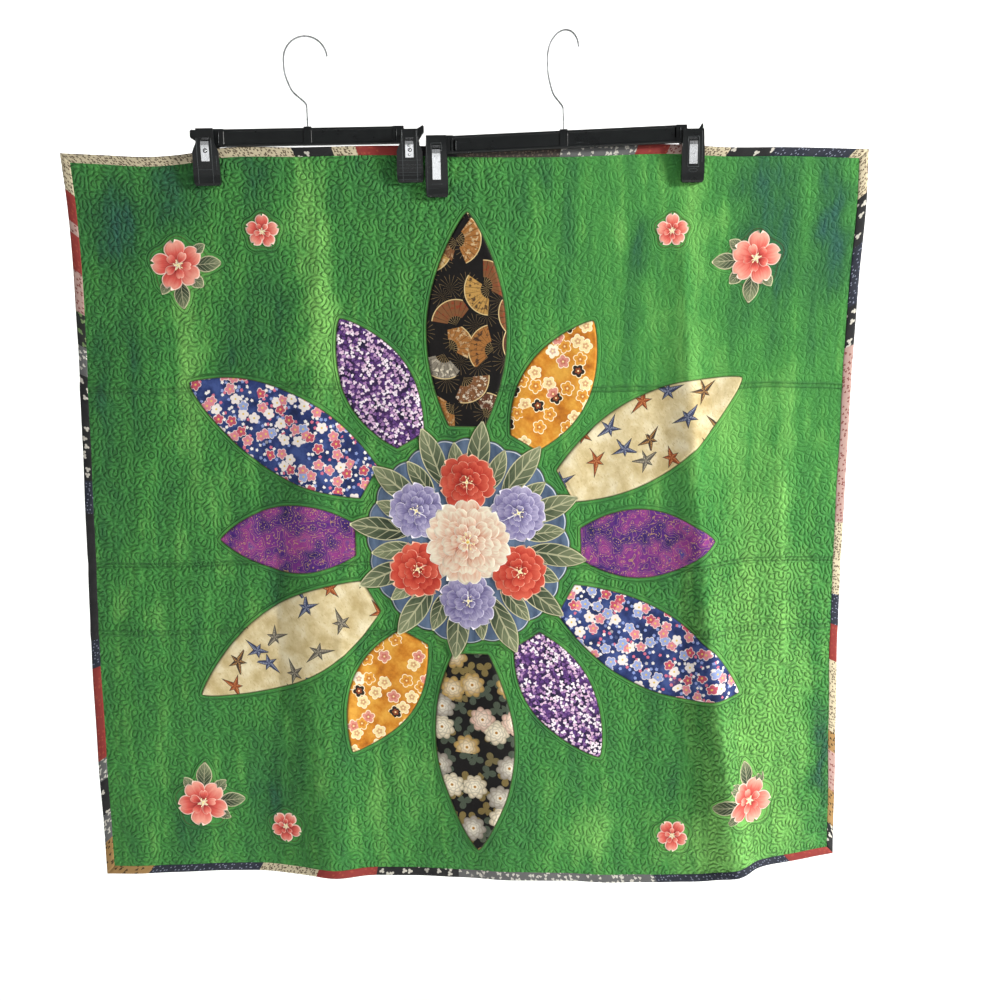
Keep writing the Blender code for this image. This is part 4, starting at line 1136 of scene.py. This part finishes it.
def flat_leaf(base, angle, length, half, columns=13, rows=9, fullness=0.75, notch=0.0,
              widest=0.5):
    """A petal or leaf on the flat quilt: its grid of points, edge distances and local places."""
    along, across = np.meshgrid(
        np.linspace(0, 1, columns), np.sin(np.linspace(-0.5, 0.5, rows) * np.pi), indexing="ij"
    )
    bent = along ** (math.log(0.5) / math.log(widest))
    width = half * np.sin(np.pi * np.clip(bent, 0.02, 0.985)) ** fullness
    reach = along * length * (1 - notch * (1 - np.abs(across)) * along**4)
    edge = np.minimum((1 - np.abs(across)) * width, np.minimum(along, 1 - along) * length)
    return (aimed(base, angle, reach, across * width), edge,
            np.stack([across * half / length, along], axis=-1))


def add_leaf(pieces, surface, level, base, angle, length, half, own, curl=0.0006, **shape):
    flat, edge, local = flat_leaf(base, angle, length, half, **shape)
    points, faces = patch_solid(flat, level + curl * rounded(edge, LEAF_TURN),
                                level - LEAF_SINK)
    pieces.add(points, faces, np.tile(local.reshape(-1, 2), (2, 1)), surface,
               own=own, edge=np.tile(edge.ravel(), 2))


def add_blossom(pieces, surface, pollen, level, place, radius, rings, chance, turn=0.0):
    """Rings of overlapping petals, from the outer ring in, and a ring of pollen."""
    for ring, (count, out, size, spread) in enumerate(rings):
        for number in range(count):
            angle = turn + 2 * math.pi * (number + 0.5 * (ring % 2)) / count
            angle += chance.uniform(-0.08, 0.08)
            add_leaf(pieces, surface, level + ring * RING_RISE + (number % 2) * 0.0001,
                     place + heading(angle) * radius * out, angle,
                     radius * size * chance.uniform(0.94, 1.05), radius * spread,
                     chance.random(), 0.0007, fullness=0.55, notch=0.16, widest=0.6)
    top = level + len(rings) * RING_RISE + 0.0002
    small = {"columns": 5, "rows": 5, "fullness": 0.4}
    add_leaf(pieces, pollen, top - 0.0001, place + (0.0, radius * 0.06), 0.0, radius * 0.12,
             radius * 0.06, 0.5, 0.0003, **small)
    for number in range(POLLEN_GRAINS):
        angle = turn + number * GOLDEN_ANGLE
        out = radius * 0.15 * math.sqrt((number + 0.5) / POLLEN_GRAINS)
        add_leaf(pieces, pollen, top + number * 0.00001, place + heading(angle) * out, angle,
                 radius * 0.085, radius * 0.03, chance.random(), 0.0004, **small)


def build_wreath(surfaces):
    pieces = Pieces()
    chance = random.Random(17)
    names = ["leaf", "red_petal", "lavender_petal", "cream_petal", "pollen"]
    level = FACE + PATCH_LIFT + PATCH_PUFF + 0.0003
    for number, (base, angle, length, half) in enumerate(wreath_leaves()):
        add_leaf(pieces, 0, level + 0.0001 * (number % 2), base, angle, length, half,
                 chance.random(), columns=21)
    for number in range(WREATH_BLOSSOMS):
        angle = 2 * math.pi * number / WREATH_BLOSSOMS
        place = MEDALLION + heading(angle) * WREATH_RING
        add_blossom(pieces, 1 + number % 2, 4, level + 0.0005, place, OPEN_RADIUS, OPEN_BLOSSOM,
                    chance, angle)
    add_blossom(pieces, 3, 4, level + 0.0011, MEDALLION, GREAT_RADIUS, GREAT_BLOSSOM, chance)
    piece = pieces.build("sewn_wreath", [surfaces[name] for name in names])
    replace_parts(piece, "wreath")
    return piece


def build_sprigs(surfaces):
    made = []
    chance = random.Random(29)
    level = FACE + PATCH_LIFT
    materials = [surfaces[name] for name in ("leaf", "coral_petal", "pollen")]
    for kind, offset, radius, leaves, rise in (
        ("sprig", SPRIG_OFFSET, SPRIG_RADIUS, SPRIG_LEAVES, 0.0005),
        ("blossom", BUD_OFFSET, BUD_RADIUS, (), 0.0003),
    ):
        for name, place, towards in corner_places(offset):
            pieces = Pieces()
            for side, length, half in leaves:
                angle = towards + side
                add_leaf(pieces, 0, level, place + heading(angle) * radius * 0.62, angle, length,
                         half, chance.random(), columns=17)
            add_blossom(pieces, 1, 2, level + rise, place, radius, SMALL_BLOSSOM, chance, towards)
            piece = pieces.build(f"sewn_{kind}_{name}", materials)
            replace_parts(piece, f"{kind}_{name}")
            made.append(piece)
    return made


# The hangers

EDGE_ROUND = 0.0006
BEVEL_FROM, SHARP_FROM = math.radians(28), math.radians(40)  # the edges' angles
RIB_STEP = 0.002
RIB_SINK = 0.0003
MOULDED_LINES = {  # clip: lines as x, down, x, down from its top's middle, width and rise, in mm
    "left_outer": ((-10.4, 12, -10.4, 66, 0.7, 0.45), (7.9, 12, 7.9, 66, 0.7, 0.45),
                   (-10.4, 49.5, 7.9, 49.5, 0.5, 0.3), (13.2, 33, 13.2, 50, 0.6, 0.4)),
    "left_inner": ((-9, 1.2, -9, 62, 0.8, 0.5), (9, 1.2, 9, 62, 0.8, 0.5),
                   *((-13.8, down, 13.8, down, 0.5, 0.35)
                     for down in (37.6, 43.1, 46.7, 52, 55.2, 60.1))),
    "right_inner": ((-6.4, 9.6, 6.4, 9.6, 0.7, 0.5), (-6.4, 18.6, 6.4, 18.6, 0.7, 0.5),
                    (-6.4, 9.6, -6.4, 18.6, 0.6, 0.4), (6.4, 9.6, 6.4, 18.6, 0.6, 0.4),
                    (-6.6, 58.6, 6.6, 58.6, 0.5, 0.3), (-11.8, 2, -11.8, 70, 0.5, 0.3)),
    "right_outer": ((-6.8, 9.6, -6.8, 45.5, 0.7, 0.5), (6.8, 9.6, 6.8, 45.5, 0.7, 0.5),
                    (-6.8, 9.6, 6.8, 9.6, 0.7, 0.5), (-6.8, 45.5, 6.8, 45.5, 0.7, 0.5),
                    (10.8, 2, 10.8, 40, 0.6, 0.4)),
}
OVAL_MARK = ("right_outer", 0, 49.6, 5.2, 2.2, 0.5, 0.3)
DIMPLES = {  # clip: dimples in its spring's front leg as x, down and radius, in mm
    "left_outer": ((0.3, 27, 1.5),),
    "left_inner": ((-0.4, 20, 1), (0.6, 25.5, 1.3), (-0.2, 31, 0.9)),
}
BAR_POCKETS = {  # hanger: x, z, width and height of the pockets in its bar, in mm
    "left": ((-272, -120.5, 1.2, 15), (-49.5, -120, 1.2, 15)),
    "right": ((22, -135, 7, 12.5), (302, -123.5, 7, 12)),
}


def face_finder(name):
    """A function that gives the y of a node's front face at x and z."""
    mesh = frame["nodes"][name].data
    tree = BVHTree.FromPolygons([v.co for v in mesh.vertices],
                                [tuple(p.vertices) for p in mesh.polygons])

    def front(x, z):
        place = tree.ray_cast(Vector((x, -1.0, z)), Vector((0.0, 1.0, 0.0)))[0]
        return place.y if place else None

    return front


def rib(pieces, front, path, width, rise, surface=0, closed=False):
    """A thin raised line on a moulded face, along a path of x and z."""
    beyond = np.vstack([path[-1:], path, path[:1]]) if closed else path
    run = np.gradient(beyond, axis=0)
    run = run[1:-1] if closed else run
    run /= np.linalg.norm(run, axis=1, keepdims=True)
    aside = np.stack([-run[:, 1], run[:, 0]], axis=1) * width / 2
    points, known = [], None
    for place, off in zip(path, aside):
        for (x, z), drops in ((place - off, (-RIB_SINK, rise)), (place + off, (rise, -RIB_SINK))):
            known = front(x, z) or known
            if known is None:
                return
            points += [(x, known - drop, z) for drop in drops]
    count = len(path)
    faces = []
    for ring in range(count if closed else count - 1):
        a, b = ring * 4, (ring + 1) % count * 4
        faces += [(a + i, a + (i + 1) % 4, b + (i + 1) % 4, b + i) for i in range(4)]
    if not closed:
        faces += [(3, 2, 1, 0), tuple((count - 1) * 4 + i for i in range(4))]
    pieces.add(np.array(points), faces, np.zeros((len(points), 2)), surface)


def line_of(x1, z1, x2, z2):
    steps = max(2, round(math.hypot(x2 - x1, z2 - z1) / RIB_STEP) + 1)
    return np.linspace((x1, z1), (x2, z2), steps)


def oval_of(x, z, half_x, half_z, steps=24):
    turn = np.linspace(0, 2 * math.pi, steps, endpoint=False)
    return np.stack([x + half_x * np.cos(turn), z + half_z * np.sin(turn)], axis=1)


def dome(pieces, x, y, z, radius, rise, surface, rings=4, steps=16):
    """A low round dome on a front face."""
    points = [(x, y - rise, z)]
    for ring in range(1, rings + 1):
        share = ring / rings
        points += [(px, y - rise * (1 - share**2), pz)
                   for px, pz in oval_of(x, z, radius * share, radius * share, steps)]
    faces = [(0, 1 + i, 1 + (i + 1) % steps) for i in range(steps)]
    for ring in range(rings - 1):
        a, b = 1 + ring * steps, 1 + (ring + 1) * steps
        faces += [(a + i, b + i, b + (i + 1) % steps, a + (i + 1) % steps) for i in range(steps)]
    pieces.add(np.array(points), faces, np.zeros((len(points), 2)), surface)


def build_marks(surfaces):
    """The lines, frames and dimples that are moulded or pressed in the hangers' front: the raised
    lines and frames in a paler plastic as painted highlight, with painted shade in the bar's
    pockets and round the dimples.
    """
    made = []
    materials = [surfaces[name] for name in ("rubbed", "pocket", "strap")]
    for clip, lines in MOULDED_LINES.items():
        pieces = Pieces()
        jaw = f"hanger_{clip}_jaw_front"
        low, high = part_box(jaw)
        middle, top = (low[0] + high[0]) / 2, high[2]
        front = face_finder(jaw)
        # The lines and the oval are raised in the paler plastic: painted highlight.
        for x1, down1, x2, down2, width, rise in np.array(lines) / 1000:
            path = line_of(middle + x1, top - down1, middle + x2, top - down2)
            rib(pieces, front, path, width, rise)
        if clip == OVAL_MARK[0]:
            x, down, half_x, half_z, width, rise = (value / 1000 for value in OVAL_MARK[1:])
            rib(pieces, front, oval_of(middle + x, top - down, half_x, half_z), width, rise,
                closed=True)
        leg = face_finder(f"hanger_{clip}_spring")
        for x, down, radius in DIMPLES.get(clip, ()):
            x, z, radius = middle + x / 1000, top - down / 1000, radius / 1000
            dome(pieces, x, leg(x, z), z, radius, radius * 0.5, 2)
            # Painted shade: a dark ring round each dimple.
            rib(pieces, leg, oval_of(x, z, radius * 1.5, radius * 1.5), radius * 0.7, 0.00008, 1,
                closed=True)
        made.append(pieces.build(f"clip_marks_{clip}", materials))
    for side, pockets in BAR_POCKETS.items():
        pieces = Pieces()
        front = face_finder(f"hanger_{side}_bar")
        for x, z, width, height in np.array(pockets) / 1000:
            low, high, end = z - height / 2, z + height / 2, x + width / 2
            # Painted shade: a dark panel in each pocket.
            rib(pieces, front, line_of(x, low, x, high), width, 0.0001, 1)
            # Painted highlight: a pale line along each pocket's edge.
            rib(pieces, front, line_of(end, low, end, high), 0.0006, 0.0004)
        made.append(pieces.build(f"bar_pockets_{side}", materials))
    return made


def round_edges(name, surface):
    """A copy of a moulded node with its edges rounded."""
    copy = linked(f"moulded_{name}", frame["nodes"][name].data.copy())
    bevel = copy.modifiers.new("edges", "BEVEL")
    bevel.width, bevel.segments, bevel.limit_method = EDGE_ROUND, 2, "ANGLE"
    bevel.angle_limit = BEVEL_FROM
    bevel.use_clamp_overlap = True
    bpy.context.view_layer.update()
    rounded_mesh = bpy.data.meshes.new_from_object(
        copy.evaluated_get(bpy.context.evaluated_depsgraph_get()))
    copy.modifiers.clear()
    copy.data = rounded_mesh
    rounded_mesh.materials.clear()
    rounded_mesh.materials.append(surface)
    rounded_mesh.shade_smooth()
    rounded_mesh.set_sharp_from_angle(angle=SHARP_FROM)
    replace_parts(copy, name)
    return copy


def dress_hangers(surfaces):
    made = []
    for name, thing in list(frame["nodes"].items()):
        if not name.startswith("hanger_"):
            continue
        if name.endswith("_bar") or "_jaw_" in name:
            made.append(round_edges(name, surfaces["plastic"]))
        kind = {"hook": "wire", "spring": "strap"}.get(name.split("_")[-1], "plastic")
        thing.data.materials.clear()
        thing.data.materials.append(surfaces[kind])
    return made + build_marks(surfaces)


# The stage, the light and the camera

FLOOR_Z = -1.42
FLOOR_FRONT, WALL_BACK, WALL_TOP = -2.9, 1.9, 3.2
WALL_BEND = 0.6
STAGE_HALF = 3.4
SKY_LIGHT = 0.2


def build_stage():
    n = Nodes("pale_floor")
    shade = n.mix(n.noise(n.place(), 3, 3), (0.9, 0.9, 0.9, 1), (0.94, 0.94, 0.94, 1))
    surface = n.finish(shade, 0.75)
    turns = [math.pi / 2 * step / 12 for step in range(13)]
    profile = [(FLOOR_FRONT, FLOOR_Z)]
    profile += [(WALL_BACK - WALL_BEND + WALL_BEND * math.sin(turn),
                 FLOOR_Z + WALL_BEND - WALL_BEND * math.cos(turn)) for turn in turns]
    profile.append((WALL_BACK, WALL_TOP))
    points = [(x, y, z) for y, z in profile for x in (-STAGE_HALF, STAGE_HALF)]
    faces = [(2 * i, 2 * i + 1, 2 * i + 3, 2 * i + 2) for i in range(len(profile) - 1)]
    make_mesh("studio_floor", points, faces, [surface])


def area_light(name, place, target, size, power, colour=(1.0, 1.0, 1.0), wide=1.0):
    """A soft light, as high as a share of its width."""
    data = bpy.data.lights.new(name, "AREA")
    data.shape, data.energy, data.color = "ELLIPSE", power, colour
    data.size, data.size_y = size, size * wide
    thing = linked(name, data)
    thing.location = place
    thing.rotation_euler = (Vector(target) - Vector(place)).to_track_quat("-Z", "Y").to_euler()


def build_light():
    """A low warm key light from the right, soft fills, and a backdrop that is seen white."""
    middle = (0.03, 0.0, -0.6)
    area_light("key", (2.5, -1.0, 0.6), middle, 0.5, 115.0, (1.0, 0.985, 0.95))
    area_light("fill", (-2.0, -2.4, 0.2), middle, 2.2, 5.0)
    area_light("front", (-0.1, -3.0, -0.40), (-0.1, 0.0, -0.30), 2.6, 6.0, wide=0.22)
    for side in (-1, 1):
        area_light(f"wall_{side}", (side * 2.3, 0.7, 0.9), (side * 0.6, 1.9, -0.7), 1.2, 52.0)
    world = bpy.data.worlds.new("studio")
    world.use_nodes = True
    tree, sky = world.node_tree, world.node_tree.nodes["Background"]
    sky.inputs["Color"].default_value = (1.0, 1.0, 1.0, 1.0)
    seen = tree.nodes.new("ShaderNodeLightPath")
    share = tree.nodes.new("ShaderNodeMapRange")
    share.inputs["To Min"].default_value, share.inputs["To Max"].default_value = SKY_LIGHT, 1.0
    tree.links.new(seen.outputs["Is Camera Ray"], share.inputs["Value"])
    tree.links.new(share.outputs[0], sky.inputs["Strength"])
    bpy.context.scene.world = world
    bpy.context.scene.view_settings.view_transform = "Standard"


def build_camera():
    pitch, roll = math.radians(CAMERA_PITCH), math.radians(CAMERA_ROLL)
    ahead = Vector((0.0, math.cos(pitch), -math.sin(pitch)))
    level = Vector((1.0, 0.0, 0.0))
    above = level.cross(ahead)
    right = level * math.cos(roll) - above * math.sin(roll)
    up = above * math.cos(roll) + level * math.sin(roll)
    data = bpy.data.cameras.new("camera")
    data.sensor_width = 36.0
    data.lens = data.sensor_width * FOCAL_PIXELS / PICTURE
    data.clip_start, data.clip_end = 0.05, 50.0
    thing = linked("camera", data)
    turn = Matrix((right, up, -ahead)).transposed()
    thing.matrix_world = Matrix.Translation(CAMERA_PLACE) @ turn.to_4x4()
    bpy.context.scene.camera = thing


def main():
    surfaces = make_materials()
    top, backing = build_ground(surfaces)
    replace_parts(top, "quilt_ground")
    sewn = build_binding(surfaces) + build_petals(surfaces)
    sewn += [build_disc(surfaces), build_wreath(surfaces), *build_sprigs(surfaces)]
    slots = {"quilt_top": "green_cotton", "quilt_backing": "green_cotton"}
    hung = dress_hangers(surfaces)
    subparts = {s["node"]: s["material_slot"] for s in frame["record"]["subparts"]}
    for piece in [top, backing, *sewn, *hung]:
        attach(piece, "root")
        nodes = list(piece.get("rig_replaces", []))
        own = subparts[nodes[0]] if nodes else "black_plastic"
        slots.get(piece.name, own)
    build_stage()
    build_light()
    build_camera()


main()
